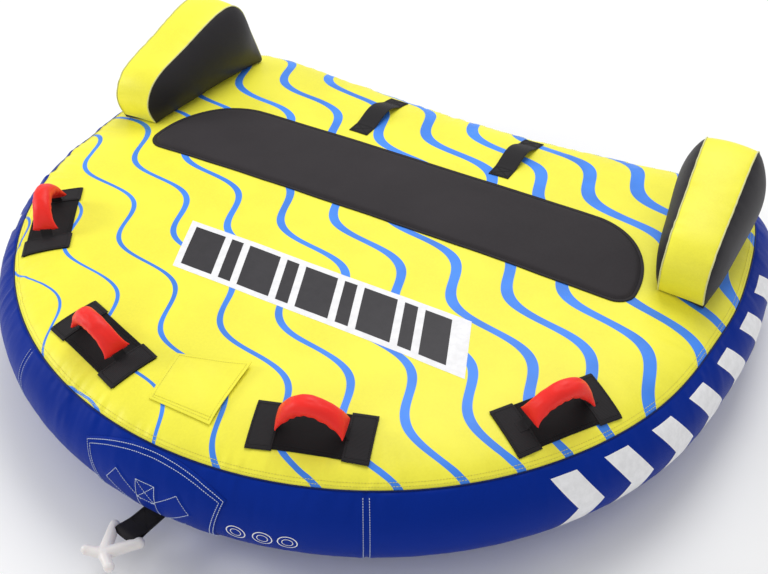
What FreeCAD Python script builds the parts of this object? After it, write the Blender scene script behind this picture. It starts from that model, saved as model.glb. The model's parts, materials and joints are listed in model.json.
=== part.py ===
import FreeCAD, Part
import math
import os

# Towable deck tube: an inflated bladder in a sewn cover, with a seat pad, four
# grab handles, two side bolsters, two rear straps and a tow point at the nose.
# The hull frame has its centre on the axis of the round nose: -Y is the towing
# direction, +X is to the right seen from in front of the nose, +Z is up
# and Z = 0 is the floor. Every shape is moved to the row frame when written.

V = FreeCAD.Vector
UP = V(0, 0, 1)

# ---- driving dimensions, mm ----
NOSE_RADIUS = 800.0
HULL_HEIGHT = 290.0
TOP_SEAM_Z = 241.0
BOTTOM_SEAM_Z = 58.0
FRONT_REACH = 965.0
REAR_REACH = 571.0
SCALE_CENTRE_Y = -80.0
NOSE_SCALE_REACH = NOSE_RADIUS + SCALE_CENTRE_Y

COVER_THICKNESS = 2.0
BLADDER_GAP = 4.0
BLADDER_THICKNESS = 1.0
BLADDER_FLOOR_Z = 8.0
PIPING_WIDTH = 4.0
PIPING_STANDS_OUT = 1.5
SKIN_GAP = 0.5
# heights between which the blocks that cut shapes out of the deck's layers run
DECK_BLOCK_LOW = 150.0
DECK_BLOCK_HIGH = 400.0
WEBBING_WIDTH = 50.0
WEBBING_THICKNESS = 2.2

FRONT_SEAM_ANGLE = 28.5
REAR_CORNER = V(640, 526, 0)

PAD_FRONT_Y = -44.0
PAD_REAR_Y = 211.0
PAD_HALF_WIDTH = 618.0
PAD_FRONT_CORNER = 44.0
PAD_REAR_STRAIGHT = 450.0
PAD_FOAM_THICKNESS = 5.0
PAD_COVER_THICKNESS = 1.4
PAD_HEM = 12.0
PAD_FLANK = 3.0
PAD_FOAM_CLEARANCE = 0.3

HANDLE_PATCH_LENGTH = 228.0
HANDLE_PATCH_WIDTH = 104.0
HANDLE_PATCH_THICKNESS = 2.4
HANDLE_BAND_GAP = 0.2
HANDLE_BAND_THICKNESS = 2.0
HANDLE_BAND_LENGTH = 112.0
HANDLE_PIVOT_Z = 11.0
HANDLE_FOOT_SPAN = 132.0
HANDLE_ARCH_RISE = 56.0
HANDLE_ARCH_RADIUS = ((HANDLE_FOOT_SPAN / 2) ** 2 + HANDLE_ARCH_RISE**2) / (2 * HANDLE_ARCH_RISE)
HANDLE_ARCH_CENTRE_Z = HANDLE_PIVOT_Z + HANDLE_ARCH_RISE - HANDLE_ARCH_RADIUS
# the sleeve's half height and half width at the top of the arch and at its flattened ends
SLEEVE_MIDDLE = (16.5, 19.5)
SLEEVE_END = (3.6, 25.0)
SLEEVE_END_ANGLE = 72.0
SLEEVE_TAPER_POWER = 2.2
SLEEVE_STEPS = 6
SLEEVE_THICKNESS = 1.2
SLEEVE_TO_CORE = 0.2
HANDLE_WEBBING_WIDTH = 24.0
HANDLE_WEBBING_THICKNESS = 1.6
HANDLE_WEBBING_ANGLE = 80.0
FRONT_HANDLE = (242.0, -655.0, 19.0)
SIDE_HANDLE = (606.0, -388.0, 57.0)

REAR_STRAP_X = 189.0
REAR_STRAP_START_Y = 244.0
REAR_STRAP_END_Y = 457.0
REAR_STRAP_TAB = 40.0
REAR_STRAP_RISE = 17.0
REAR_STRAP_FOOT_LIFT = 0.2

FLAP_CORNERS = [(-70, -731), (68, -731), (55, -573), (-88, -618)]
FLAP_GAP = 3.2
FLAP_THICKNESS = 1.4
LEFT_TAPE_CORNERS = [(-78, -640), (-60, -646), (-60, -724), (-68, -724)]
RIGHT_TAPE_CORNERS = [(44, -724), (62, -724), (54, -600), (40, -606)]
HOOK_TAPE_THICKNESS = 1.2
LOOP_TAPE_GAP = 2.0
LOOP_TAPE_THICKNESS = 1.1

VALVE_CENTRE = (-9.0, -658.0)
VALVE_HOLE_RADIUS = 38.0
VALVE_FLANGE_RADIUS = 32.0
VALVE_FLANGE_LOW = -3.3
VALVE_FLANGE_TOP = -1.4
VALVE_WELL_RADIUS = 21.0
VALVE_WELL_DEPTH = 26.0
VALVE_WALL = 1.8
VALVE_TO_BLADDER = 0.4
AIR_HOLE_RADIUS = 9.0
INSERT_CLEARANCE = 0.3
INSERT_HEIGHT = 16.0
INSERT_BORE_RADIUS = 12.0
CAP_RADIUS = 17.0
CAP_TOP = 1.2
CAP_TO_INSERT = 0.7
CAP_PLUG_RADIUS = 11.4
CAP_PLUG_LENGTH = 9.0
CAP_NOTCHES = 8
CAP_NOTCH_RADIUS = 2.6
CAP_NOTCH_CIRCLE = 18.2
CAP_NOTCH_RISE = 2.0

NOSE_PATCH_HALF_WIDTH = 160.0
NOSE_PATCH_TAPER = 15.0
NOSE_PATCH_SHOULDER_Z = 190.0
NOSE_PATCH_TOP_Z = 235.0
NOSE_PATCH_LOW_Z = 75.0
NOSE_PATCH_THICKNESS = 1.4
NOSE_PATCH_TO_HARNESS = 0.3
# each leg of the harness under the nose patch: its tilt in degrees and its length
HARNESS_LEGS = [(0, 84), (-52, 108), (52, 108)]
HARNESS_FOOT = V(-11, 0, 88)
HARNESS_TOP_Z = 233.0
HARNESS_ROOT = 20.0
TOW_EXIT = V(-22, -805, 62)
TOW_SKEW = -9.0
TOW_STRAP_LENGTH = 80.0
TOW_STRAP_ROOT_GAP = 1.2
TOW_STRAP_NECK = 30.0
BAR_CLEARANCE = 0.4
HOOK_THICKNESS = 19.0
HOOK_HORN_THICKNESS = 16.15
HOOK_TIP_RADIUS = 9.975
HOOK_SIDE_CLEARANCE = 0.6
HOOK_STRAP_CLEARANCE = 1.0
HOOK_BAR_RADIUS = 6.0
HOOK_SHOULDER = 33.0
HOOK_CROSSING = 45.0
HOOK_HORN = V(31, -71, 0)

# the right bolster: its inner and outer sides in plan, and its outline seen from the side as (y, z)
BOLSTER_INNER_LINE = [(656, -32), (608, 460)]
BOLSTER_OUTER_LINE = [(753, -32), (730, 460)]
BOLSTER_PROFILE = [
    (37, 280), (0, 351), (43, 391), (134, 416), (232, 441), (305, 475), (348, 475), (384, 446),
    (403, 400), (427, 339), (451, 280),
]
BOLSTER_PROFILE_STEPS = 24
BOLSTER_ROOT_Z = 200.0
BOLSTER_SKIN = 2.0
BOLSTER_SEAM_GAP = 0.3
BOLSTER_BLADDER_THICKNESS = 1.2

ZIP_Y = 262.0
ZIP_HALF_LENGTH = 350.0
ZIP_SLOT_WIDTH = 14.0
ZIP_TAPE_WIDTH = 36.0
ZIP_TAPE_GAP = 0.3
ZIP_TAPE_THICKNESS = 0.8
ZIP_TAPE_OVERLAP = 30.0
ZIP_PARK_X = 325.0
TEETH_WIDTH = 5.2
TEETH_THICKNESS = 2.0
TEETH_DROP = 0.4
TEETH_SLIT = 1.2
TEETH_TO_TAPE = 0.2
TEETH_END_GAP = 8.0
TEETH_BRIDGE = 2.0
TEETH_PITCH = 10.0
TEETH_NOTCH = 0.5
SLIDER_LENGTH = 16.0
SLIDER_WIDTH = 11.2
SLIDER_BELOW = 1.6
SLIDER_ABOVE = 2.9
SLIDER_CLEARANCE = 0.4
SLIDER_WEB = 0.6
PULL_LENGTH = 26.0
PULL_WIDTH = 8.0
PULL_THICKNESS = 1.1
PULL_DROP = 0.3
PULL_TO_SLIDER = 1.0

# (scale of the top seam outline, height) from the floor panel up to the deck crown
HULL_PROFILE = [
    (0.70, 0), (0.80, 4), (0.90, 17), (0.96, 34), (0.995, BOTTOM_SEAM_Z), (1.045, 100),
    (1.062, 148), (1.050, 195), (1.0, TOP_SEAM_Z), (0.972, 255), (0.93, 266), (0.85, 277),
    (0.72, 284), (0.50, 289), (0.25, HULL_HEIGHT),
]
# the right half of the stern, from the end of the nose arc to the middle of the transom
STERN_POINTS = [
    (805, 98), (793, 244), (766, 390), (732, 470), (671, 518), (586, 533), (464, 525),
    (244, 503), (0, 492),
]
NOSE_STEP = 15


# ---- hull surfaces ----
def outline_points():
    arc = [
        (NOSE_RADIUS * math.cos(math.radians(a)), NOSE_RADIUS * math.sin(math.radians(a)))
        for a in range(-180, 1, NOSE_STEP)
    ]
    left_stern = [(-x, y) for x, y in reversed(STERN_POINTS[:-1])]
    return arc + STERN_POINTS + left_stern


def outline_curve():
    curve = Part.BSplineCurve()
    curve.interpolate(Points=[V(x, y, 0) for x, y in outline_points()], PeriodicFlag=True)
    return curve


def profile_curve(points):
    """A curve through (radius at the nose, height) points, level at both ends."""
    curve = Part.BSplineCurve()
    curve.interpolate(Points=points, InitialTangent=V(1, 0, 0), FinalTangent=V(-1, 0, 0))
    return curve


def offset_profile(distance):
    points = [V(scale * NOSE_SCALE_REACH, z, 0) for scale, z in HULL_PROFILE]
    base = profile_curve(points)
    moved = []
    for point in points:
        run = base.tangent(base.parameter(point))[0]
        moved.append(point + V(run.y, -run.x, 0) * distance)
    return profile_curve(moved)


hull_store = {}


def hull(distance):
    """The inflated shape, grown outward by a distance: the outline scaled along the profile."""
    if distance not in hull_store:
        around = outline_curve()
        over = offset_profile(distance)
        poles = [
            [
                V(q.x * p.x / NOSE_SCALE_REACH,
                  SCALE_CENTRE_Y + (q.y - SCALE_CENTRE_Y) * p.x / NOSE_SCALE_REACH, p.y)
                for p in over.getPoles()
            ]
            for q in around.getPoles()
        ]
        surface = Part.BSplineSurface()
        surface.buildFromPolesMultsKnots(
            poles, around.getMultiplicities(), over.getMultiplicities(), around.getKnots(),
            over.getKnots(), True, False, around.Degree, over.Degree,
        )
        side = surface.toShape()
        rims = [edge for edge in side.Edges if edge.isClosed()]
        shell = Part.makeShell([side] + [Part.Face(Part.Wire(rim)) for rim in rims])
        shell.sewShape()
        hull_store[distance] = Part.makeSolid(shell)
    return hull_store[distance]


def layer(block, gap, thickness):
    """The part of a block that lies in a layer on the hull, from a gap up."""
    return block.common(hull(round(gap + thickness, 3))).cut(hull(gap))


def slab(z_low, z_high):
    return Part.makeBox(2400, 2400, z_high - z_low, V(-1200, -1200, z_low))


def prism(points, z_low=-20.0, z_high=600.0):
    corners = [V(x, y, z_low) for x, y in points]
    face = Part.Face(Part.makePolygon(corners + corners[:1]))
    return face.extrude(V(0, 0, z_high - z_low))


def deck_prism(points):
    return prism(points, DECK_BLOCK_LOW, DECK_BLOCK_HIGH)


def wedge(start, end):
    """A sector between two plan directions, in degrees from +X."""
    steps = 6
    turns = [math.radians(start + (end - start) * i / steps) for i in range(steps + 1)]
    return prism([(0, 0)] + [(1300 * math.cos(a), 1300 * math.sin(a)) for a in turns])


def deck_height(x, y):
    plumb = Part.makeLine(V(x, y, HULL_HEIGHT / 2), V(x, y, HULL_HEIGHT + 10))
    return hull(0).common(plumb).BoundBox.ZMax


def deck_frame(x, y, angle=0.0):
    """Placement on the deck: local Z along the surface normal, local X at an angle in plan."""
    step = 10.0
    rise_x = (deck_height(x + step, y) - deck_height(x - step, y)) / (2 * step)
    rise_y = (deck_height(x, y + step) - deck_height(x, y - step)) / (2 * step)
    normal = V(-rise_x, -rise_y, 1).normalize()
    along = V(math.cos(math.radians(angle)), math.sin(math.radians(angle)), 0)
    rotation = FreeCAD.Rotation(along, V(0, 0, 0), normal, "ZXY")
    return FreeCAD.Placement(V(x, y, deck_height(x, y)), rotation)


def placed(shape, placement):
    copy = shape.copy()
    copy.Placement = placement.multiply(copy.Placement)
    return copy


def mirrored(shape):
    return shape.mirror(V(0, 0, 0), V(1, 0, 0))


def write(name, shape):
    shape = shape.copy()
    shape.translate(V(0, (FRONT_REACH - REAR_REACH) / 2, 0))
    shape.exportStep("parts/" + name + ".step")


def local_block(length, width, offset=0.0, depth=60.0):
    return Part.makeBox(length, width, 2 * depth, V(offset - length / 2, -width / 2, -depth))


# ---- cover, bladder and seams ----
def cover_panels():
    half_piping = PIPING_WIDTH / 2
    stern = math.degrees(math.atan2(REAR_CORNER.y, REAR_CORNER.x))
    wall = slab(BOTTOM_SEAM_Z, TOP_SEAM_Z - half_piping)
    cuts = {
        "side_cover_front": (-90 - FRONT_SEAM_ANGLE, -90 + FRONT_SEAM_ANGLE),
        "side_cover_right": (-90 + FRONT_SEAM_ANGLE, stern),
        "side_cover_rear": (stern, 180 - stern),
        "side_cover_left": (180 - stern, 270 - FRONT_SEAM_ANGLE),
    }
    panels = {
        name: layer(wall.common(wedge(*turns)), -COVER_THICKNESS, COVER_THICKNESS)
        for name, turns in cuts.items()
    }
    valve = placed(Part.makeCylinder(VALVE_HOLE_RADIUS, 40, V(0, 0, -20)), deck_frame(*VALVE_CENTRE))
    deck = layer(slab(TOP_SEAM_Z + half_piping, 400), -COVER_THICKNESS, COVER_THICKNESS)
    panels["top_cover"] = deck.cut(valve)
    zip_slot = Part.makeBox(
        2 * ZIP_HALF_LENGTH, ZIP_SLOT_WIDTH, 20, V(-ZIP_HALF_LENGTH, ZIP_Y - ZIP_SLOT_WIDTH / 2, -10)
    )
    floor = layer(slab(-10, BOTTOM_SEAM_Z), -COVER_THICKNESS, COVER_THICKNESS)
    panels["bottom_cover"] = floor.cut(zip_slot)
    seam = slab(TOP_SEAM_Z - half_piping, TOP_SEAM_Z + half_piping)
    panels["top_piping"] = layer(seam, -COVER_THICKNESS, COVER_THICKNESS + PIPING_STANDS_OUT)
    return panels


def bladder():
    raised = slab(BLADDER_FLOOR_Z, 400)
    raised_inside = slab(BLADDER_FLOOR_Z + BLADDER_THICKNESS, 400)
    outside = hull(-BLADDER_GAP).common(raised)
    inside = hull(-BLADDER_GAP - BLADDER_THICKNESS).common(raised_inside)
    well = Part.makeCylinder(VALVE_WELL_RADIUS + VALVE_TO_BLADDER, 60, V(0, 0, -50))
    return outside.cut(inside).cut(placed(well, deck_frame(*VALVE_CENTRE)))


# ---- filling valve under the flap ----
def valve_parts():
    frame = deck_frame(*VALVE_CENTRE)
    floor = -VALVE_WELL_DEPTH
    bore = VALVE_WELL_RADIUS - VALVE_WALL
    flange_depth = VALVE_FLANGE_TOP - VALVE_FLANGE_LOW
    base = Part.makeCylinder(VALVE_FLANGE_RADIUS, flange_depth, V(0, 0, VALVE_FLANGE_LOW))
    base = base.fuse(Part.makeCylinder(VALVE_WELL_RADIUS, VALVE_WELL_DEPTH, V(0, 0, floor)))
    base = base.cut(slab(VALVE_FLANGE_TOP, VALVE_WELL_DEPTH))
    base = base.cut(Part.makeCylinder(bore, VALVE_WELL_DEPTH, V(0, 0, floor + VALVE_WALL)))
    air_hole = Part.makeCylinder(AIR_HOLE_RADIUS, 4 * VALVE_WALL, V(0, 0, floor - 2 * VALVE_WALL))
    base = base.cut(air_hole).removeSplitter()

    insert_low = floor + VALVE_WALL + INSERT_CLEARANCE
    insert_start = V(0, 0, insert_low)
    insert = Part.makeCylinder(bore - INSERT_CLEARANCE, INSERT_HEIGHT, insert_start)
    insert = insert.cut(Part.makeCylinder(INSERT_BORE_RADIUS, INSERT_HEIGHT, insert_start))

    cap_low = insert_low + INSERT_HEIGHT + CAP_TO_INSERT
    cap = Part.makeCylinder(CAP_RADIUS, CAP_TOP - cap_low, V(0, 0, cap_low))
    plug_low = cap_low - CAP_PLUG_LENGTH
    cap = cap.fuse(Part.makeCylinder(CAP_PLUG_RADIUS, CAP_PLUG_LENGTH + 1, V(0, 0, plug_low)))
    for index in range(CAP_NOTCHES):
        turn = math.radians(360 * index / CAP_NOTCHES)
        spot = V(math.cos(turn), math.sin(turn), 0) * CAP_NOTCH_CIRCLE
        notch_start = spot + V(0, 0, cap_low + CAP_NOTCH_RISE)
        cap = cap.cut(Part.makeCylinder(CAP_NOTCH_RADIUS, VALVE_WELL_DEPTH, notch_start))
    return {
        "valve_base": placed(base, frame),
        "valve_insert": placed(insert, frame),
        "valve_cap": placed(cap.removeSplitter(), frame),
    }


def flap_parts():
    flap = layer(deck_prism(FLAP_CORNERS), FLAP_GAP, FLAP_THICKNESS)
    strips = deck_prism(LEFT_TAPE_CORNERS).fuse(deck_prism(RIGHT_TAPE_CORNERS))
    return {
        "valve_flap": flap,
        "flap_hook_tape": layer(strips, SKIN_GAP, HOOK_TAPE_THICKNESS),
        "flap_loop_tape": layer(strips, LOOP_TAPE_GAP, LOOP_TAPE_THICKNESS),
    }


# ---- seat pad ----
def pad_face(inset):
    half = PAD_HALF_WIDTH - inset
    front = PAD_FRONT_Y + inset
    rear = PAD_REAR_Y - inset
    corner = PAD_FRONT_CORNER - inset / 2
    waist = front + corner
    straight = PAD_REAR_STRAIGHT
    reach = half - straight

    def rear_corner(side):
        turns = [math.radians(9 * i) for i in range(11)]
        points = [
            V(side * (straight + reach * math.cos(t)), waist + (rear - waist) * math.sin(t), 0)
            for t in turns
        ]
        curve = Part.BSplineCurve()
        curve.interpolate(points)
        return curve.toShape()

    def front_corner(side):
        middle = corner * (1 - math.sqrt(0.5))
        return Part.Arc(
            V(side * (half - corner), front, 0),
            V(side * (half - middle), front + middle, 0),
            V(side * half, waist, 0),
        ).toShape()

    edges = [
        Part.makeLine(V(corner - half, front, 0), V(half - corner, front, 0)),
        front_corner(1),
        rear_corner(1),
        Part.makeLine(V(straight, rear, 0), V(-straight, rear, 0)),
        rear_corner(-1),
        front_corner(-1),
    ]
    return Part.Face(Part.Wire(edges))


def pad_block(inset, gap, thickness):
    block = pad_face(inset).extrude(V(0, 0, DECK_BLOCK_HIGH - DECK_BLOCK_LOW))
    block.translate(V(0, 0, DECK_BLOCK_LOW))
    return layer(block, gap, thickness)


def pad_parts():
    foam = pad_block(PAD_HEM, SKIN_GAP, PAD_FOAM_THICKNESS)
    room = pad_block(PAD_HEM - 1, SKIN_GAP - 0.1, PAD_FOAM_THICKNESS + PAD_FOAM_CLEARANCE)
    hem = pad_block(0, SKIN_GAP, PAD_COVER_THICKNESS)
    top = pad_block(PAD_HEM - PAD_FLANK, SKIN_GAP, PAD_FOAM_THICKNESS + PAD_COVER_THICKNESS)
    return {"seat_pad_foam": foam, "seat_pad_cover": hem.fuse(top).cut(room)}


# ---- grab handles ----
def arch_section(share, shrink):
    """An ellipse across the handle's arch, at a share of the way from its top to an end."""
    turn = math.radians(SLEEVE_END_ANGLE * share)
    full = 1 - abs(share) ** SLEEVE_TAPER_POWER
    half_height = SLEEVE_END[0] + (SLEEVE_MIDDLE[0] - SLEEVE_END[0]) * full - shrink
    half_width = SLEEVE_END[1] + (SLEEVE_MIDDLE[1] - SLEEVE_END[1]) * full - shrink
    outward = V(math.sin(turn), 0, math.cos(turn))
    centre = V(0, 0, HANDLE_ARCH_CENTRE_Z) + outward * HANDLE_ARCH_RADIUS
    ellipse = Part.Ellipse(centre + V(0, half_width, 0), centre + outward * half_height, centre)
    return Part.Wire(ellipse.toShape())


def arch_tube(shrink):
    wires = [arch_section(i / SLEEVE_STEPS, shrink) for i in range(-SLEEVE_STEPS, SLEEVE_STEPS + 1)]
    return Part.makeLoft(wires, True, False, False, 3)


def arch_strip(thickness, width):
    """A flat strip bent along the arch."""
    side = []
    for shift in (-thickness / 2, thickness / 2):
        radius = HANDLE_ARCH_RADIUS + shift
        ends = []
        for turn in (math.radians(-HANDLE_WEBBING_ANGLE), 0, math.radians(HANDLE_WEBBING_ANGLE)):
            height = HANDLE_ARCH_CENTRE_Z + radius * math.cos(turn)
            ends.append(V(radius * math.sin(turn), -width / 2, height))
        side.append(ends)
    inner, outer = side
    edges = [
        Part.Arc(*inner).toShape(),
        Part.makeLine(inner[2], outer[2]),
        Part.Arc(*reversed(outer)).toShape(),
        Part.makeLine(outer[0], inner[0]),
    ]
    return Part.Face(Part.Wire(edges)).extrude(V(0, width, 0))


def handle_parts(x, y, angle):
    frame = deck_frame(x, y, angle)
    patch_block = placed(local_block(HANDLE_PATCH_LENGTH, HANDLE_PATCH_WIDTH), frame)
    band_offset = (HANDLE_PATCH_LENGTH - WEBBING_WIDTH) / 2
    band_blocks = [
        placed(local_block(WEBBING_WIDTH, HANDLE_BAND_LENGTH, side * band_offset), frame)
        for side in (-1, 1)
    ]
    band_gap = SKIN_GAP + HANDLE_PATCH_THICKNESS + HANDLE_BAND_GAP
    bands = layer(band_blocks[0].fuse(band_blocks[1]), band_gap, HANDLE_BAND_THICKNESS)
    webbing = arch_strip(HANDLE_WEBBING_THICKNESS, HANDLE_WEBBING_WIDTH)
    core = arch_tube(SLEEVE_THICKNESS + SLEEVE_TO_CORE).cut(webbing)
    sleeve = arch_tube(0).cut(arch_tube(SLEEVE_THICKNESS))
    return {
        "patch": layer(patch_block, SKIN_GAP, HANDLE_PATCH_THICKNESS),
        "bands": bands,
        "webbing": placed(webbing, frame),
        "core": placed(core, frame),
        "sleeve": placed(sleeve, frame),
    }


# ---- rear straps ----
def rear_strap():
    low_x = REAR_STRAP_X - WEBBING_WIDTH / 2
    high_x = REAR_STRAP_X + WEBBING_WIDTH / 2
    ends = ((REAR_STRAP_START_Y, 1), (REAR_STRAP_END_Y, -1))
    tabs = []
    hump = []
    for y, way in ends:
        inner_y = y + way * REAR_STRAP_TAB
        corners = [(low_x, y), (high_x, y), (high_x, inner_y), (low_x, inner_y)]
        tabs.append(layer(deck_prism(corners), SKIN_GAP, WEBBING_THICKNESS))
        foot_z = deck_height(REAR_STRAP_X, inner_y) + SKIN_GAP + REAR_STRAP_FOOT_LIFT
        hump.append(V(low_x, inner_y - way, foot_z))
    middle_y = (REAR_STRAP_START_Y + REAR_STRAP_END_Y) / 2
    crown = V(low_x, middle_y, deck_height(REAR_STRAP_X, middle_y) + REAR_STRAP_RISE)
    rise = V(0, 0, WEBBING_THICKNESS)
    edges = [
        Part.Arc(hump[0], crown, hump[1]).toShape(),
        Part.makeLine(hump[1], hump[1] + rise),
        Part.Arc(hump[1] + rise, crown + rise, hump[0] + rise).toShape(),
        Part.makeLine(hump[0] + rise, hump[0]),
    ]
    arch = Part.Face(Part.Wire(edges)).extrude(V(WEBBING_WIDTH, 0, 0))
    return arch.fuse(tabs[0]).fuse(tabs[1])


# ---- nose patch, harness, tow strap and hook ----
def front_prism(face):
    return face.extrude(V(0, -1400, 0))


def nose_patch_face():
    half = NOSE_PATCH_HALF_WIDTH
    low_half = half - NOSE_PATCH_TAPER
    low = NOSE_PATCH_LOW_Z
    shoulder = NOSE_PATCH_SHOULDER_Z
    crown = V(0, 0, NOSE_PATCH_TOP_Z)
    edges = [
        Part.makeLine(V(-low_half, 0, low), V(low_half, 0, low)),
        Part.makeLine(V(low_half, 0, low), V(half, 0, shoulder)),
        Part.Arc(V(half, 0, shoulder), crown, V(-half, 0, shoulder)).toShape(),
        Part.makeLine(V(-half, 0, shoulder), V(-low_half, 0, low)),
    ]
    return Part.Face(Part.Wire(edges))


def harness_leg(tilt, length):
    half = WEBBING_WIDTH / 2
    root = -HARNESS_ROOT
    corners = [V(-half, 0, root), V(half, 0, root), V(half, 0, length), V(-half, 0, length)]
    face = Part.Face(Part.makePolygon(corners + corners[:1]))
    face.rotate(V(0, 0, 0), V(0, 1, 0), tilt)
    face.translate(HARNESS_FOOT)
    return front_prism(face)


def nose_parts():
    blocks = [harness_leg(tilt, length) for tilt, length in HARNESS_LEGS]
    legs = blocks[0].multiFuse(blocks[1:]).common(slab(NOSE_PATCH_LOW_Z, HARNESS_TOP_Z))
    harness = layer(legs, SKIN_GAP, WEBBING_THICKNESS)
    over = SKIN_GAP + WEBBING_THICKNESS + NOSE_PATCH_TO_HARNESS
    patch = layer(front_prism(nose_patch_face()), over, NOSE_PATCH_THICKNESS)
    return {"nose_patch": patch, "tow_harness": harness}


def from_tow_exit(shape):
    """Turn a shape built along -Y from the origin to where the strap leaves the seam."""
    return placed(shape, FreeCAD.Placement(TOW_EXIT, FreeCAD.Rotation(V(0, 0, 1), TOW_SKEW)))


def tow_strap():
    """Doubled webbing whose bight goes round the bar of the hook."""
    eye = HOOK_BAR_RADIUS + BAR_CLEARANCE
    outside = eye + WEBBING_THICKNESS
    bar_y = -TOW_STRAP_LENGTH
    low_x = -WEBBING_WIDTH / 2
    centre = V(low_x, bar_y, 0)
    across = V(1, 0, 0)
    bight = Part.makeCylinder(outside, WEBBING_WIDTH, centre, across)
    tail_start = V(low_x, bar_y, -WEBBING_THICKNESS)
    tail_length = TOW_STRAP_LENGTH - TOW_STRAP_ROOT_GAP
    tail = Part.makeBox(WEBBING_WIDTH, tail_length, 2 * WEBBING_THICKNESS, tail_start)
    neck_y = bar_y + TOW_STRAP_NECK
    closing = [
        V(low_x, bar_y, -outside),
        V(low_x, bar_y, outside),
        V(low_x, neck_y, WEBBING_THICKNESS),
        V(low_x, neck_y, -WEBBING_THICKNESS),
    ]
    neck = Part.Face(Part.makePolygon(closing + closing[:1])).extrude(V(WEBBING_WIDTH, 0, 0))
    strap = bight.fuse(tail).fuse(neck)
    bar_room = Part.makeCylinder(eye, WEBBING_WIDTH + 20, centre - V(10, 0, 0), across)
    return from_tow_exit(strap.cut(bar_room).removeSplitter())


def rod(start, end, radius):
    return Part.makeCylinder(radius, (end - start).Length, start, end - start)


def tow_hook():
    """A ring of two crossing arms with a bar for the strap and two horns for the rope's loop."""
    middle = V(0, -TOW_STRAP_LENGTH, 0)
    arm = HOOK_THICKNESS / 2
    crossing = middle - V(0, HOOK_CROSSING, 0)
    clear = WEBBING_WIDTH / 2 + HOOK_SIDE_CLEARANCE
    bar_end = V(clear + 1, 0, 0)
    pieces = [Part.makeSphere(arm, crossing)]
    for side in (-1, 1):
        corner = middle + V(side * HOOK_SHOULDER, 0, 0)
        tip = middle + V(side * HOOK_HORN.x, HOOK_HORN.y, 0)
        pieces.append(Part.makeSphere(arm, corner))
        pieces.append(rod(corner, crossing, arm))
        pieces.append(rod(crossing, tip, HOOK_HORN_THICKNESS / 2))
        pieces.append(Part.makeSphere(HOOK_TIP_RADIUS, tip))
    hook = pieces[0].multiFuse(pieces[1:])
    room_radius = HOOK_BAR_RADIUS + WEBBING_THICKNESS + HOOK_STRAP_CLEARANCE
    room = Part.makeCylinder(room_radius, 2 * clear, middle - V(clear, 0, 0), V(1, 0, 0))
    bar = rod(middle - bar_end, middle + bar_end, HOOK_BAR_RADIUS)
    return from_tow_exit(hook.cut(room).fuse(bar).removeSplitter())


# ---- side bolsters ----
def bolster_profile(inset):
    """Side view of the bolster, front foot over the top to rear foot, shrunk by an inset."""
    curve = Part.BSplineCurve()
    curve.interpolate([V(0, y, z) for y, z in BOLSTER_PROFILE])
    span = curve.LastParameter - curve.FirstParameter
    points = []
    for step in range(BOLSTER_PROFILE_STEPS + 1):
        along = curve.FirstParameter + span * step / BOLSTER_PROFILE_STEPS
        run = curve.tangent(along)[0]
        points.append(curve.value(along) + run.cross(V(1, 0, 0)) * inset)
    over = Part.BSplineCurve()
    over.interpolate(points)
    front, rear = points[0], points[-1]
    front_root = V(0, front.y, BOLSTER_ROOT_Z)
    rear_root = V(0, rear.y, BOLSTER_ROOT_Z)
    edges = [
        over.toShape(),
        Part.makeLine(rear, rear_root),
        Part.makeLine(rear_root, front_root),
        Part.makeLine(front_root, front),
    ]
    return Part.Face(Part.Wire(edges))


def plan_line(ends, shift):
    return [(x + shift, y) for x, y in ends]


def bolster_block(inset, inner_line, outer_line):
    """The bolster shrunk by an inset, between two lines in plan and clear of the hull."""
    body = bolster_profile(inset).extrude(V(1000, 0, 0))
    plan = prism(inner_line + outer_line[::-1], BOLSTER_ROOT_Z - 10)
    return body.common(plan).cut(hull(round(SKIN_GAP + inset / 2, 3))).Solids[0]


def bolster_parts():
    inner, outer = BOLSTER_INNER_LINE, BOLSTER_OUTER_LINE
    skin = BOLSTER_SKIN
    band = skin + BOLSTER_SEAM_GAP
    air = band + BOLSTER_SEAM_GAP
    wall = air + BOLSTER_BLADDER_THICKNESS
    outside = bolster_block(0, plan_line(inner, band), plan_line(outer, -band))
    bladder = bolster_block(air, plan_line(inner, air), plan_line(outer, -air))
    return {
        "inner_side": bolster_block(0, inner, plan_line(inner, skin)),
        "outer_side": bolster_block(0, plan_line(outer, -skin), outer),
        "gusset": outside.cut(bolster_block(skin, inner, outer)),
        "bladder": bladder.cut(bolster_block(wall, plan_line(inner, wall), plan_line(outer, -wall))),
    }


# ---- zip in the floor panel ----
def zip_box(length, width, x, low, high):
    """A box along the zip, centred on it at x, between two heights."""
    return Part.makeBox(length, width, high - low, V(x - length / 2, ZIP_Y - width / 2, low))


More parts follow.
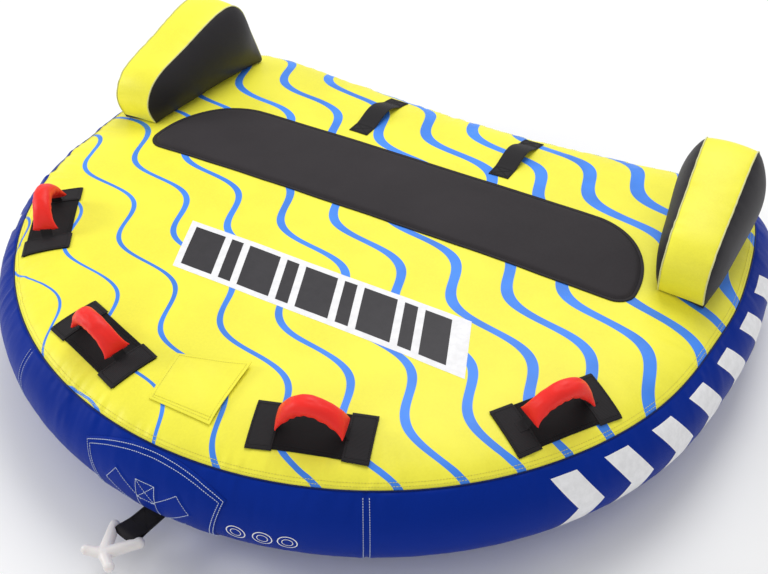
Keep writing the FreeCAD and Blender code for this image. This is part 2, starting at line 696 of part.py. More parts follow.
def zip_parts():
    length = 2 * ZIP_HALF_LENGTH
    tape_low = COVER_THICKNESS + ZIP_TAPE_GAP
    tape_high = tape_low + ZIP_TAPE_THICKNESS
    tape = zip_box(length + ZIP_TAPE_OVERLAP, ZIP_TAPE_WIDTH, 0, tape_low, tape_high)
    slot_width = TEETH_WIDTH + 2 * TEETH_TO_TAPE
    tape = tape.cut(zip_box(length - TEETH_END_GAP, slot_width, 0, 0, 2 * tape_high))

    teeth_low = tape_low - TEETH_DROP
    teeth_high = teeth_low + TEETH_THICKNESS
    teeth_length = length - TEETH_END_GAP - 2 * TEETH_TO_TAPE
    slit_length = teeth_length - 2 * TEETH_BRIDGE
    teeth = zip_box(teeth_length, TEETH_WIDTH, 0, teeth_low, teeth_high)
    teeth = teeth.cut(zip_box(slit_length, TEETH_SLIT, 0, 0, 2 * teeth_high))
    first = TEETH_PITCH - ZIP_HALF_LENGTH
    count = int((length - 2 * TEETH_PITCH) / TEETH_PITCH)
    notches = [
        zip_box(TEETH_PITCH / 2, TEETH_WIDTH / 2, first + TEETH_PITCH * i, teeth_low, teeth_low + TEETH_NOTCH)
        for i in range(count)
    ]
    teeth = teeth.cut(Part.makeCompound(notches))

    low = tape_low - SLIDER_BELOW
    high = tape_low + SLIDER_ABOVE
    through = SLIDER_LENGTH + 2
    slider = zip_box(SLIDER_LENGTH, SLIDER_WIDTH, ZIP_PARK_X, low, high)
    channel_width = TEETH_WIDTH + 2 * SLIDER_CLEARANCE
    channel_low = teeth_low - SLIDER_CLEARANCE
    channel_high = teeth_high + SLIDER_CLEARANCE
    channel = zip_box(through, channel_width, ZIP_PARK_X, channel_low, channel_high)
    slit_low = tape_low - SLIDER_CLEARANCE
    slit_high = tape_high + SLIDER_CLEARANCE
    slit = zip_box(through, SLIDER_WIDTH + 2, ZIP_PARK_X, slit_low, slit_high)
    web = zip_box(SLIDER_LENGTH, SLIDER_WEB, ZIP_PARK_X, low, high)
    pull_x = ZIP_PARK_X - (SLIDER_LENGTH + PULL_LENGTH) / 2 - PULL_TO_SLIDER
    pull_low = low - PULL_DROP
    return {
        "zip_tape": tape,
        "zip_teeth": teeth,
        "zip_slider": slider.cut(channel).cut(slit).fuse(web),
        "zip_pull": zip_box(PULL_LENGTH, PULL_WIDTH, pull_x, pull_low, pull_low + PULL_THICKNESS),
    }


def main():
    os.makedirs("parts", exist_ok=True)
    pieces = cover_panels()
    pieces["main_bladder"] = bladder()
    pieces.update(valve_parts())
    pieces.update(flap_parts())
    pieces.update(pad_parts())
    pieces.update(nose_parts())
    pieces["tow_strap"] = tow_strap()
    pieces["tow_hook"] = tow_hook()
    pieces.update(zip_parts())
    strap = rear_strap()
    pieces["rear_strap_right"] = strap
    pieces["rear_strap_left"] = mirrored(strap)
    for place, spot in (("front", FRONT_HANDLE), ("side", SIDE_HANDLE)):
        for part, shape in handle_parts(*spot).items():
            pieces["handle_" + place + "_right_" + part] = shape
            pieces["handle_" + place + "_left_" + part] = mirrored(shape)
    for part, shape in bolster_parts().items():
        pieces["bolster_right_" + part] = shape
        pieces["bolster_left_" + part] = mirrored(shape)
    for name, shape in pieces.items():
        write(name, shape)


main()
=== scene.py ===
import json
import math

import bmesh
import bpy
import numpy as np
from mathutils import Matrix, Vector

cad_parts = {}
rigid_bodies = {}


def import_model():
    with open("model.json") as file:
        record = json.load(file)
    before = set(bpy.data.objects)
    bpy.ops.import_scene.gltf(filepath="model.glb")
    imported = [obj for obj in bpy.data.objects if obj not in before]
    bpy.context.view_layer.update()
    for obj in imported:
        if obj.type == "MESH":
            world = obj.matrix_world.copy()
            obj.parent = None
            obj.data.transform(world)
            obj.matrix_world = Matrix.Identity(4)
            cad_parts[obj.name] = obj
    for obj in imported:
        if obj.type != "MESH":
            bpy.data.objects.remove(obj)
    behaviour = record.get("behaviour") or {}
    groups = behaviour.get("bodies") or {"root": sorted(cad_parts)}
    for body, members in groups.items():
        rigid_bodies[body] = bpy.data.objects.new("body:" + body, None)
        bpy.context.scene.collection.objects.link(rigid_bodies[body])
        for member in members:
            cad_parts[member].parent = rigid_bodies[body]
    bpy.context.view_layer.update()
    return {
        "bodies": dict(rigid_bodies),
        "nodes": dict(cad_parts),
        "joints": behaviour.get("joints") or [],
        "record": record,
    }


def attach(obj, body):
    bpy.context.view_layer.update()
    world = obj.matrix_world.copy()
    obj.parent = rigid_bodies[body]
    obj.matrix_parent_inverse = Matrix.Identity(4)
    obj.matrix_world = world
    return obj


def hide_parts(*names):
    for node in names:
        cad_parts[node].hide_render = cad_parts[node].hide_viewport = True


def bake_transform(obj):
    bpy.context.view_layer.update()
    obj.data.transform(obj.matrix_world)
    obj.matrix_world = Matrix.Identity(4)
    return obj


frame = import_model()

# Lengths are metres in the row frame: -Y is the towing direction, +X is to the right seen from
# in front of the nose and Z = 0 is the floor.
TAU = 2 * math.pi
MM = 0.001

# ---- the hull's form, as in the CAD ----
NOSE_RADIUS = 0.800
NOSE_CENTRE_Y = 0.197
SCALE_CENTRE_Y = 0.117
NOSE_REACH = 0.720
HULL_HEIGHT = 0.290
TOP_SEAM_Z = 0.241
BOTTOM_SEAM_Z = 0.058
HULL_PROFILE = [
    (0.70, 0), (0.80, 4), (0.90, 17), (0.96, 34), (0.995, 58), (1.045, 100), (1.062, 148),
    (1.050, 195), (1.0, 241), (0.972, 255), (0.93, 266), (0.85, 277), (0.72, 284), (0.50, 289),
    (0.25, 290),
]
STERN_POINTS = [
    (805, 98), (793, 244), (766, 390), (732, 470), (671, 518), (586, 533), (464, 525),
    (244, 503), (0, 492),
]
PANEL_SEAM_ANGLE = 28.5
REAR_SEAM = (0.640, 0.526)


def run_along(line):
    """Distance along a line from its first point to each of its points."""
    return np.concatenate([[0], np.cumsum(np.linalg.norm(np.diff(line, axis=0), axis=1))])


def smooth_curve(points, count, closed=False, ends=None):
    """Points on the twice-smooth cubic through the given ones, spaced by chord length."""
    p = np.array(points, float)
    if closed:
        p = np.vstack([p, p[:1]])
    step = np.linalg.norm(np.diff(p, axis=0), axis=1)
    slope = np.diff(p, axis=0) / step[:, None]
    last = len(p) - 1
    a = np.zeros((last + 1, last + 1))
    b = np.zeros_like(p)
    for i in range(1, last):
        a[i, i - 1:i + 2] = step[i], 2 * (step[i - 1] + step[i]), step[i - 1]
        b[i] = 3 * (step[i] * slope[i - 1] + step[i - 1] * slope[i])
    if closed:
        a[0, 0], a[0, last] = 1, -1
        a[last, last - 1] = step[0]
        a[last, 0] = 2 * (step[-1] + step[0])
        a[last, 1] = step[-1]
        b[last] = 3 * (step[0] * slope[-1] + step[-1] * slope[0])
    elif ends is not None:
        a[0, 0] = a[last, last] = 1
        b[0], b[last] = ends
    else:
        a[0, :2] = 2, 1
        a[last, -2:] = 1, 2
        b[0], b[last] = 3 * slope[0], 3 * slope[-1]
    tangent = np.linalg.solve(a, b)
    knots = np.concatenate([[0], np.cumsum(step)])
    at = np.linspace(0, knots[-1], count)
    k = np.clip(np.searchsorted(knots, at, side="right") - 1, 0, last - 1)
    w = ((at - knots[k]) / step[k])[:, None]
    h = step[k][:, None]
    return (
        (2 * w**3 - 3 * w**2 + 1) * p[k] + (w**3 - 2 * w**2 + w) * h * tangent[k]
        + (3 * w**2 - 2 * w**3) * p[k + 1] + (w**3 - w**2) * h * tangent[k + 1]
    )


def outline_table():
    arc = [(NOSE_RADIUS * math.cos(math.radians(a)), NOSE_RADIUS * math.sin(math.radians(a)))
           for a in range(-180, 1, 15)]
    right = [(x * MM, y * MM) for x, y in STERN_POINTS]
    left = [(-x, y) for x, y in reversed(right[:-1])]
    line = smooth_curve(arc + right + left, 6000, closed=True)[:-1] + (0, NOSE_CENTRE_Y - SCALE_CENTRE_Y)
    angle = np.arctan2(line[:, 1], line[:, 0]) % TAU
    order = np.argsort(angle)
    return angle[order], np.linalg.norm(line, axis=1)[order]


OUTLINE_ANGLE, OUTLINE_RADIUS = outline_table()


def outline_radius(angle):
    return np.interp(np.asarray(angle) % TAU, OUTLINE_ANGLE, OUTLINE_RADIUS, period=TAU)


def profile_table():
    points = [(scale * NOSE_REACH, z * MM) for scale, z in HULL_PROFILE]
    line = smooth_curve(points, 3000, ends=((1, 0), (-1, 0)))
    floor = np.stack([np.linspace(0, line[0, 0], 200)[:-1], np.zeros(199)], 1)
    crown = np.stack([np.linspace(line[-1, 0], 0, 100)[1:], np.full(99, HULL_HEIGHT)], 1)
    line = np.vstack([floor, line, crown])
    along = run_along(line)
    return along, line, np.gradient(line, along, axis=0)


ALONG, PROFILE, PROFILE_RUN = profile_table()
WIDEST = int(np.argmax(PROFILE[:, 0]))
T_END = ALONG[-1]
T_BOTTOM_SEAM = float(np.interp(BOTTOM_SEAM_Z, PROFILE[:WIDEST, 1], ALONG[:WIDEST]))
T_TOP_SEAM = float(np.interp(TOP_SEAM_Z, PROFILE[WIDEST:, 1], ALONG[WIDEST:]))
NOSE = -math.pi / 2


def hull_point(angle, t, out=0.0):
    """Points on the hull, an angle round it and a profile length t from the floor's middle."""
    angle, t, out = np.broadcast_arrays(angle, t, out)
    reach, z = np.interp(t, ALONG, PROFILE[:, 0]), np.interp(t, ALONG, PROFILE[:, 1])
    run_r = np.interp(t, ALONG, PROFILE_RUN[:, 0])
    run_z = np.interp(t, ALONG, PROFILE_RUN[:, 1])
    distance = (reach + out * run_z) / NOSE_REACH * outline_radius(angle)
    return np.stack([
        distance * np.cos(angle), SCALE_CENTRE_Y + distance * np.sin(angle), z - out * run_r
    ], -1)


def hull_normal(angle, t):
    reach_step, along_step = 0.004, 0.002
    round_hull = hull_point(angle + reach_step, t) - hull_point(angle - reach_step, t)
    up = hull_point(angle, t + along_step) - hull_point(angle, t - along_step)
    normal = np.cross(round_hull, up)
    return normal / np.maximum(np.linalg.norm(normal, axis=-1, keepdims=True), 1e-12)


def deck_place(x, y):
    """(angle, t) of plan points on the deck."""
    x, y = np.asarray(x, float), np.asarray(y, float) - SCALE_CENTRE_Y
    angle = np.arctan2(y, x)
    reach = np.hypot(x, y) / outline_radius(angle) * NOSE_REACH
    return angle, np.interp(reach, PROFILE[:WIDEST:-1, 0], ALONG[:WIDEST:-1])


def wall_t(z):
    """Profile length of a height on the wall, up to the widest part and over it."""
    low = np.interp(z, PROFILE[:WIDEST, 1], ALONG[:WIDEST])
    high = np.interp(z, PROFILE[WIDEST:, 1], ALONG[WIDEST:])
    return np.where(np.asarray(z) < PROFILE[WIDEST, 1], low, high)


# ---- seeded noise ----
def noise_field(seed, u, v, size_u, size_v, around=None):
    """Smooth noise from -1 to 1. u wraps every `around`, when that is given."""
    rng = np.random.default_rng(seed)
    cells = max(3, int(round(around / size_u))) if around else 512
    lattice = rng.uniform(-1, 1, (cells, 256))
    a = np.asarray(u) / (around / cells if around else size_u)
    b = np.asarray(v) / size_v + 60.0
    i, j = np.floor(a).astype(int), np.floor(b).astype(int)
    fa, fb = a - i, b - j
    fa, fb = fa * fa * (3 - 2 * fa), fb * fb * (3 - 2 * fb)
    at = lambda m, n: lattice[m % cells, n % 256]
    low = at(i, j) * (1 - fa) + at(i + 1, j) * fa
    high = at(i, j + 1) * (1 - fa) + at(i + 1, j + 1) * fa
    return low * (1 - fb) + high * fb


def swell(x, y):
    """The deck's broad unevenness, shared by everything that lies on it."""
    return 0.0016 * noise_field(3, x, y, 0.16, 0.16) + 0.0009 * noise_field(4, x, y, 0.07, 0.09)


def gathers(angle, t):
    """Folds that the seams draw into the cover, across the seams, fading away from them."""
    arc = angle * NOSE_RADIUS
    whole = TAU * NOSE_RADIUS
    away = t - T_TOP_SEAM
    deck_fade = np.exp(-np.abs(away) / 0.034)
    wall_fade = np.exp(-np.abs(away) / 0.060)
    fade = np.where(away > 0, deck_fade, wall_fade)
    drift = 0.25 * away * noise_field(11, arc, away, 0.30, 0.20, whole)
    fine = noise_field(12, arc + drift, away, 0.013, 0.060, whole)
    broad = noise_field(13, arc + drift, away, 0.030, 0.110, whole)
    strength = 0.75 + 0.45 * noise_field(14, arc, away, 0.22, 0.3, whole)
    depth = np.where(away > 0, 0.0034 * fine + 0.0034 * broad, 0.0020 * fine + 0.0038 * broad)
    depth = depth * (1 - np.exp(-((away / 0.007) ** 2)))
    low_away = t - T_BOTTOM_SEAM
    low_fade = np.exp(-np.abs(low_away) / 0.034)
    low = noise_field(15, arc, low_away, 0.026, 0.080, whole) * 0.0012 * low_fade
    pinch = 0.0022 * np.exp(-(away / 0.0042) ** 2) + 0.0016 * np.exp(-(low_away / 0.0045) ** 2)
    return strength * fade * depth + low - pinch


def cover_out(angle, t):
    point = hull_point(angle, t)
    on_top = np.clip((point[..., 2] - TOP_SEAM_Z) / 0.010, 0, 1)
    return gathers(angle, t) + swell(point[..., 0], point[..., 1]) * on_top


# ---- meshes ----
def link(obj):
    bpy.context.scene.collection.objects.link(obj)
    return obj


def mesh_object(name, points, faces, materials=(), cloth=None, smooth=True):
    mesh = bpy.data.meshes.new(name)
    mesh.from_pydata(np.asarray(points, float).reshape(-1, 3).tolist(), [], np.asarray(faces).tolist()
                     if isinstance(faces, np.ndarray) else faces)
    if cloth is not None:
        layer = mesh.uv_layers.new(name="cloth")
        layer.data.foreach_set("uv", np.asarray(cloth, np.float32).ravel())
    for material in materials:
        mesh.materials.append(material)
    mesh.polygons.foreach_set("use_smooth", [smooth] * len(mesh.polygons))
    mesh.update()
    return link(bpy.data.objects.new(name, mesh))


def grid_faces(rows, columns, wrap=False, start=0, flip=False):
    """Quads of a grid of points, row by row; with wrap, the last column joins the first."""
    i = np.arange(rows - 1)[:, None]
    j = np.arange(columns if wrap else columns - 1)[None, :]
    a = i * columns + j
    b = i * columns + (j + 1) % columns
    quads = np.stack([a, b, b + columns, a + columns], -1).reshape(-1, 4) + start
    return quads[:, ::-1] if flip else quads


def grid_cloth(u, v, wrap=False, around=0.0, flip=False):
    """UV in metres for each corner of grid_faces' quads; u and v are (rows, columns)."""
    uv = np.stack([u, v], -1)
    if wrap:
        extra = uv[:, :1].copy()
        extra[..., 0] += around
        uv = np.concatenate([uv, extra], 1)
    corners = np.stack([uv[:-1, :-1], uv[:-1, 1:], uv[1:, 1:], uv[1:, :-1]], 2).reshape(-1, 4, 2)
    return corners[:, ::-1] if flip else corners


def slab_object(name, top, bottom, u, v, material):
    """A closed thin body between two equal grids of points."""
    rows, columns = top.shape[:2]
    count = rows * columns
    upper = grid_faces(rows, columns)
    lower = grid_faces(rows, columns, start=count, flip=True)
    rim = np.concatenate([
        np.arange(columns), np.arange(1, rows) * columns + columns - 1,
        np.arange(columns - 2, -1, -1) + (rows - 1) * columns, np.arange(rows - 2, 0, -1) * columns
    ])
    after = np.roll(rim, -1)
    wall = np.stack([after, rim, rim + count, after + count], -1)
    faces = np.concatenate([upper, lower, wall])
    flat = np.stack([u, v], -1).reshape(-1, 2)
    flat = np.concatenate([flat, flat])
    made = mesh_object(name, np.concatenate([top.reshape(-1, 3), bottom.reshape(-1, 3)]), faces,
                       [material], flat[faces])
    return made


def edged(count, edge, length):
    """Positions 0..length with a close pair at each end, for a rounded edge."""
    return np.concatenate([[0, edge], np.linspace(edge, length - edge, count)[1:-1],
                           [length - edge, length]])


def edge_drop(u, v, length, width, radius, depth):
    """How far a laid piece's top falls towards its edges."""
    near = np.minimum(np.minimum(u, length - u), np.minimum(v, width - v))
    return depth * (1 - np.clip(near / radius, 0, 1)) ** 2


def join_mesh(name, parts, material):
    """One mesh from many (points, faces) parts of the same make."""
    points, faces, start = [], [], 0
    for p, f in parts:
        points.append(p.reshape(-1, 3))
        faces.append(np.asarray(f) + start)
        start += len(points[-1])
    return mesh_object(name, np.concatenate(points), np.concatenate(faces), [material])


STITCH_RING = np.array([(1, 0), (0, 1), (-1, 0), (0, -1)], float)


def stitch_part(line, normal, pitch=0.0046, length=0.0034, thick=0.00045, lift=0.0003):
    """Small tapered stitches laid along a line of points that lie on a surface."""
    line, normal = np.asarray(line, float), np.asarray(normal, float)
    run = run_along(line)
    count = max(1, int(run[-1] / pitch))
    middles = (np.arange(count) + 0.5) * run[-1] / count
    sample = lambda at, of: np.stack([np.interp(at, run, of[:, k]) for k in range(3)], -1)
    up = sample(middles, normal)
    up /= np.linalg.norm(up, axis=1, keepdims=True)
    rings = []
    for offset, size, high in ((-0.5, 0.45, -0.6), (-0.22, 1.0, 0.8), (0.22, 1.0, 0.8), (0.5, 0.45, -0.6)):
        centre = sample(middles + offset * length, line) + up * (lift + high * thick * 0.5)
        ahead = sample(middles + 0.01 * MM + 0.3 * length, line) - sample(middles - 0.3 * length, line)
        side = np.cross(ahead, up)
        side /= np.maximum(np.linalg.norm(side, axis=1, keepdims=True), 1e-12)
        ring = (centre[:, None] + side[:, None] * STITCH_RING[None, :, :1] * thick * size * 1.3
                + up[:, None] * STITCH_RING[None, :, 1:] * thick * size)
        rings.append(ring)
    points = np.stack(rings, 1)
    local = []
    for r in range(3):
        for k in range(4):
            n = (k + 1) % 4
            local.append((r * 4 + k, r * 4 + n, r * 4 + 4 + n, r * 4 + 4 + k))
    local += [(3, 2, 1, 0), (12, 13, 14, 15)]
    faces = (np.arange(count) * 16)[:, None, None] + np.array(local)[None]
    return points.reshape(-1, 3), faces.reshape(-1, 4)


def hull_line(angle, t, out):
    """A line on the cover and the surface's normals along it."""
    angle, t = np.broadcast_arrays(np.asarray(angle, float), np.asarray(t, float))
    return hull_point(angle, t, out + cover_out(angle, t)), hull_normal(angle, t)


def tube_part(line, radius, sides=10, closed=False, flat=1.0, normal=None):
    """A round or flattened tube round a line, as points and faces."""
    line = np.asarray(line, float)
    if closed:
        ahead = np.roll(line, -1, 0) - np.roll(line, 1, 0)
    else:
        ahead = np.gradient(line, axis=0)
    ahead /= np.linalg.norm(ahead, axis=1, keepdims=True)
    guide = np.asarray(normal) if normal is not None else np.broadcast_to([0.0, 0.0, 1.0], line.shape)
    side = np.cross(ahead, guide)
    side /= np.maximum(np.linalg.norm(side, axis=1, keepdims=True), 1e-9)
    up = np.cross(side, ahead)
    turn = np.linspace(0, TAU, sides, endpoint=False)
    radius = np.broadcast_to(radius, (len(line),))[:, None, None]
    ring = (line[:, None] + side[:, None] * np.cos(turn)[None, :, None] * radius
            + up[:, None] * np.sin(turn)[None, :, None] * radius * flat)
    rows = len(line)
    if closed:
        i = np.arange(rows)[:, None]
        j = np.arange(sides)[None]
        n = (i + 1) % rows
        m = (j + 1) % sides
        faces = np.stack([i * sides + j, n * sides + j, n * sides + m, i * sides + m], -1).reshape(-1, 4)
        return ring.reshape(-1, 3), faces
    faces = grid_faces(rows, sides, wrap=True)[:, ::-1].tolist()
    return ring.reshape(-1, 3), faces


# ---- materials ----
def linear(red, green, blue):
    """Shader colour of a colour as seen, 0 to 255."""
    lift = lambda c: c / 12.92 if c <= 0.04045 else ((c + 0.055) / 1.055) ** 2.4
    return (lift(red / 255), lift(green / 255), lift(blue / 255), 1.0)


class Shade:
    """A node material under construction."""

    def __init__(self, name, roughness=0.5, **sockets):
        self.material = bpy.data.materials.new(name)
        self.material.use_nodes = True
        self.tree = self.material.node_tree
        self.shader = self.tree.nodes["Principled BSDF"]
        self.shader.inputs["Roughness"].default_value = roughness
        for socket, value in sockets.items():
            self.shader.inputs[socket.replace("_", " ")].default_value = value
        self.place = self.add("ShaderNodeTexCoord").outputs["Object"]
        self.bump_height = None

    def add(self, kind, inputs=(), **properties):
        node = self.tree.nodes.new(kind)
        for key, value in properties.items():
            setattr(node, key, value)
        for socket, value in dict(inputs).items():
            self.feed(node.inputs[socket], value)
        return node

    def feed(self, socket, value):
        if isinstance(value, bpy.types.NodeSocket):
            self.tree.links.new(value, socket)
        else:
            socket.default_value = value

    def math(self, operation, a, b=0.0, c=0.0, clamp=False):
        node = self.add("ShaderNodeMath", operation=operation, use_clamp=clamp)
        for socket, value in zip(node.inputs, (a, b, c)):
            self.feed(socket, value)
        return node.outputs[0]

    def step(self, value, low, high, to_low=0.0, to_high=1.0):
        node = self.add("ShaderNodeMapRange", interpolation_type="SMOOTHSTEP")
        for socket, number in zip(node.inputs, (value, low, high, to_low, to_high)):
            self.feed(socket, number)
        return node.outputs[0]

    def mix(self, factor, a, b, blend="MIX"):
        node = self.add("ShaderNodeMix", data_type="RGBA", blend_type=blend)
        self.feed(node.inputs["Factor"], factor)
        self.feed(node.inputs["A"], a)
        self.feed(node.inputs["B"], b)
        return node.outputs["Result"]

    def noise(self, scale, detail=2.0, roughness=0.5, place=None):
        node = self.add("ShaderNodeTexNoise", {"Vector": place or self.place, "Scale": scale,
                                               "Detail": detail, "Roughness": roughness})
        return node.outputs["Fac"]

    def cloth_map(self):
        return self.add("ShaderNodeUVMap", uv_map="cloth").outputs["UV"]

    def weave(self, pitch, across=1.0, place=None, axes=("X", "Y")):
        """Height of a plain weave: threads that pass over and under, at a pitch in metres."""
        split = self.add("ShaderNodeSeparateXYZ", {"Vector": place or self.cloth_map()})
        first = self.math("SINE", self.math("MULTIPLY", split.outputs[axes[0]], math.pi / pitch))
        second = self.math("SINE", self.math("MULTIPLY", split.outputs[axes[1]], math.pi / pitch / across))
        return self.math("MULTIPLY", first, second)

    def bump(self, height, distance, strength=1.0):
        """Adds a layer of relief, its height in metres when the value runs from 0 to 1."""
        node = self.add("ShaderNodeBump", {"Height": height, "Distance": distance, "Strength": strength})
        if self.bump_height is not None:
            self.tree.links.new(self.bump_height, node.inputs["Normal"])
        self.bump_height = node.outputs["Normal"]
        self.feed(self.shader.inputs["Normal"], self.bump_height)
        return self

    def colour(self, value):
        self.feed(self.shader.inputs["Base Color"], value)
        return self

    def worn(self, base, dark, light, scale=7.0):
        """A colour with faint broad and fine unevenness."""
        broad = self.step(self.noise(scale, 3.0), 0.35, 0.7)
        fine = self.step(self.noise(scale * 28, 2.0), 0.3, 0.75)
        tone = self.mix(broad, dark, light)
        return self.mix(self.math("MULTIPLY", fine, 0.35), self.mix(0.5, base, tone), light)


def scaled(colour, factor):
    return tuple(min(1.0, c * factor) for c in colour[:3]) + (1.0,)


def nylon(name, seen, roughness=0.42, gloss=0.28, pitch=0.0011, place=None):
    shade = Shade(name, roughness, Specular_IOR_Level=gloss, Sheen_Weight=0.02, Sheen_Roughness=0.4)
    base = linear(*seen)
    shade.colour(shade.worn(base, scaled(base, 0.90), scaled(base, 1.07)))
    shade.bump(shade.noise(46, 3.0), 0.0006, 0.35)
    weave = shade.weave(pitch, place=place)
    shade.bump(weave, 0.00010, 0.55)
    return shade


YELLOW = (248, 241, 72)
WAVE_BLUE = (66, 138, 242)
WALL_BLUE = (3, 42, 142)

# the printed waves: sine lines at an even spacing, all in one direction
WAVE_UNIT = 1.220
WAVE_TURN = math.radians(36.644)
WAVE_LENGTH = 0.26913
WAVE_REACH = 0.02757
WAVE_PHASE = 3.6728
WAVE_LEAN = -0.27028
WAVE_SPACING = 0.0930
WAVE_OFFSET = 0.0331
WAVE_WIDTH = 0.0178
WAVE_WIDTH_GROWS = 0.0019


def deck_shade():
    shade = nylon("deck_fabric", YELLOW, 0.40)
    split = shade.add("ShaderNodeSeparateXYZ", {"Vector": shade.place})
    x = shade.math("DIVIDE", split.outputs["X"], WAVE_UNIT)
    y = shade.math("DIVIDE", shade.math("SUBTRACT", split.outputs["Y"], NOSE_CENTRE_Y), WAVE_UNIT)
    cosine, sine = math.cos(WAVE_TURN), math.sin(WAVE_TURN)
    along = shade.math("SUBTRACT", shade.math("MULTIPLY", x, cosine), shade.math("MULTIPLY", y, sine))
    across = shade.math("ADD", shade.math("MULTIPLY", x, sine), shade.math("MULTIPLY", y, cosine))
    leaning = shade.math("MULTIPLY_ADD", across, WAVE_LEAN, along)
    turn = shade.math("MULTIPLY_ADD", leaning, TAU / WAVE_LENGTH, WAVE_PHASE)
    height = shade.math("MULTIPLY", shade.math("SINE", turn), WAVE_REACH)
    row = shade.math("DIVIDE", shade.math("SUBTRACT", shade.math("SUBTRACT", across, height), WAVE_OFFSET),
                     WAVE_SPACING)
    nearest = shade.math("ROUND", row)
    gap = shade.math("MULTIPLY", shade.math("ABSOLUTE", shade.math("SUBTRACT", row, nearest)), WAVE_SPACING)
    wobble = shade.math("MULTIPLY_ADD", shade.noise(9, 2.0), 0.004, -0.002)
    width = shade.math("MULTIPLY_ADD", nearest, WAVE_WIDTH_GROWS, WAVE_WIDTH)
    half = shade.math("MULTIPLY", shade.math("MAXIMUM", shade.math("ADD", width, wobble), 0.004), 0.5)
    line = shade.step(shade.math("SUBTRACT", gap, half), 0.0007, -0.0003)
    yellow = shade.shader.inputs["Base Color"].links[0].from_socket
    blue = linear(*WAVE_BLUE)
    printed = shade.mix(shade.step(shade.noise(8, 2.0), 0.3, 0.7), scaled(blue, 0.86), scaled(blue, 1.1))
    shade.colour(shade.mix(line, yellow, printed))
    return shade


def webbing(name, seen, rib=0.0026):
    """Flat nylon webbing: ribs across its length and a finer thread along it, with painted shade in the rib
    hollows and a painted highlight on the rib crests.
    """
    shade = Shade(name, 0.62, Specular_IOR_Level=0.16, Sheen_Weight=0.02, Sheen_Roughness=0.5)
    base = linear(*seen)
    split = shade.add("ShaderNodeSeparateXYZ", {"Vector": shade.cloth_map()})
    ribs = shade.math("SINE", shade.math("MULTIPLY", split.outputs["Y"], TAU / rib))
    threads = shade.weave(rib * 0.5, 0.7)
    both = shade.math("MULTIPLY_ADD", ribs, 0.5, shade.math("MULTIPLY", threads, 0.5))
    # painted shade and painted highlight: the colour darkens in the rib hollows and lightens on the rib
    # crests, following the weave's relief
    tone = shade.mix(shade.step(both, -0.7, 0.8), scaled(base, 0.55), scaled(base, 1.5))
    shade.colour(shade.mix(shade.step(shade.noise(30, 3.0), 0.3, 0.7), tone, shade.mix(0.5, tone, base)))
    shade.bump(both, 0.00035, 0.7).bump(shade.noise(60, 2.0), 0.0004, 0.3)
    return shade


def moulded(name, seen, roughness=0.38, **sockets):
    """Smooth moulded plastic with a faint fine grain and scuffs."""
    shade = Shade(name, roughness, **sockets)
    base = linear(*seen)
    shade.colour(shade.worn(base, scaled(base, 0.90), scaled(base, 1.04), 22))
    scuffs = shade.step(shade.noise(60, 6.0, 0.7), 0.40, 0.72, roughness - 0.06, roughness + 0.16)
    shade.feed(shade.shader.inputs["Roughness"], scuffs)
    shade.bump(shade.noise(900, 2.0), 0.00005, 0.6).bump(shade.noise(28, 2.0), 0.0003, 0.25)
    return shade


def thread(name, seen):
    shade = Shade(name, 0.55, Specular_IOR_Level=0.3)
    base = linear(*seen)
    shade.colour(shade.mix(shade.step(shade.noise(700, 2.0), 0.35, 0.65), scaled(base, 0.80), base))
    shade.bump(shade.noise(2600, 1.0), 0.0001, 0.8)
    return shade


def printed(name, seen, low=0.86):
    """Screen-printed ink on the cover's weave."""
    shade = Shade(name, 0.45, Specular_IOR_Level=0.25)
    base = linear(*seen)
    tone = shade.step(shade.noise(60, 4.0, 0.6), 0.3, 0.7)
    shade.colour(shade.mix(tone, scaled(base, low), base))
    shade.bump(shade.weave(0.0011), 0.00008, 0.5)
    return shade


def neoprene(name, seen):
    """Knitted face of a foam rubber sheet: tiny loops, matt, with a soft bloom."""
    shade = Shade(name, 0.78, Specular_IOR_Level=0.20, Sheen_Weight=0.04, Sheen_Roughness=0.6)
    base = linear(*seen)
    shade.colour(shade.worn(base, scaled(base, 0.86), scaled(base, 1.18), 5))
    split = shade.add("ShaderNodeSeparateXYZ", {"Vector": shade.cloth_map()})
    u = shade.math("MULTIPLY", split.outputs["X"], math.pi / 0.0011)
    v = shade.math("MULTIPLY", split.outputs["Y"], math.pi / 0.0015)
    loops = shade.math("ABSOLUTE", shade.math("MULTIPLY", shade.math("SINE", u), shade.math("SINE", v)))
    shade.bump(loops, 0.00014, 0.6).bump(shade.noise(14, 3.0), 0.0012, 0.30)
    return shade


def body_cloth(name, seen, roughness=0.5, gloss=0.25, pitch=0.0012, folds=0.5):
    """Woven cover of a stuffed piece, its weave following whichever way the surface faces."""
    shade = Shade(name, roughness, Specular_IOR_Level=gloss, Sheen_Weight=0.03, Sheen_Roughness=0.45)
    base = linear(*seen)
    shade.colour(shade.worn(base, scaled(base, 0.88), scaled(base, 1.08), 9))
    split = shade.add("ShaderNodeSeparateXYZ", {"Vector": shade.place})
    waves = [shade.math("SINE", shade.math("MULTIPLY", split.outputs[axis], math.pi / pitch))
             for axis in ("X", "Y", "Z")]
    weave = shade.math("ADD", shade.math("MULTIPLY", waves[0], waves[1]),
                       shade.math("MULTIPLY", waves[1], waves[2]))
    shade.bump(shade.math("ADD", weave, shade.math("MULTIPLY", waves[0], waves[2])), 0.00008, 0.5)
    shade.bump(shade.noise(38, 4.0, 0.55), 0.0010, folds)
    return shade


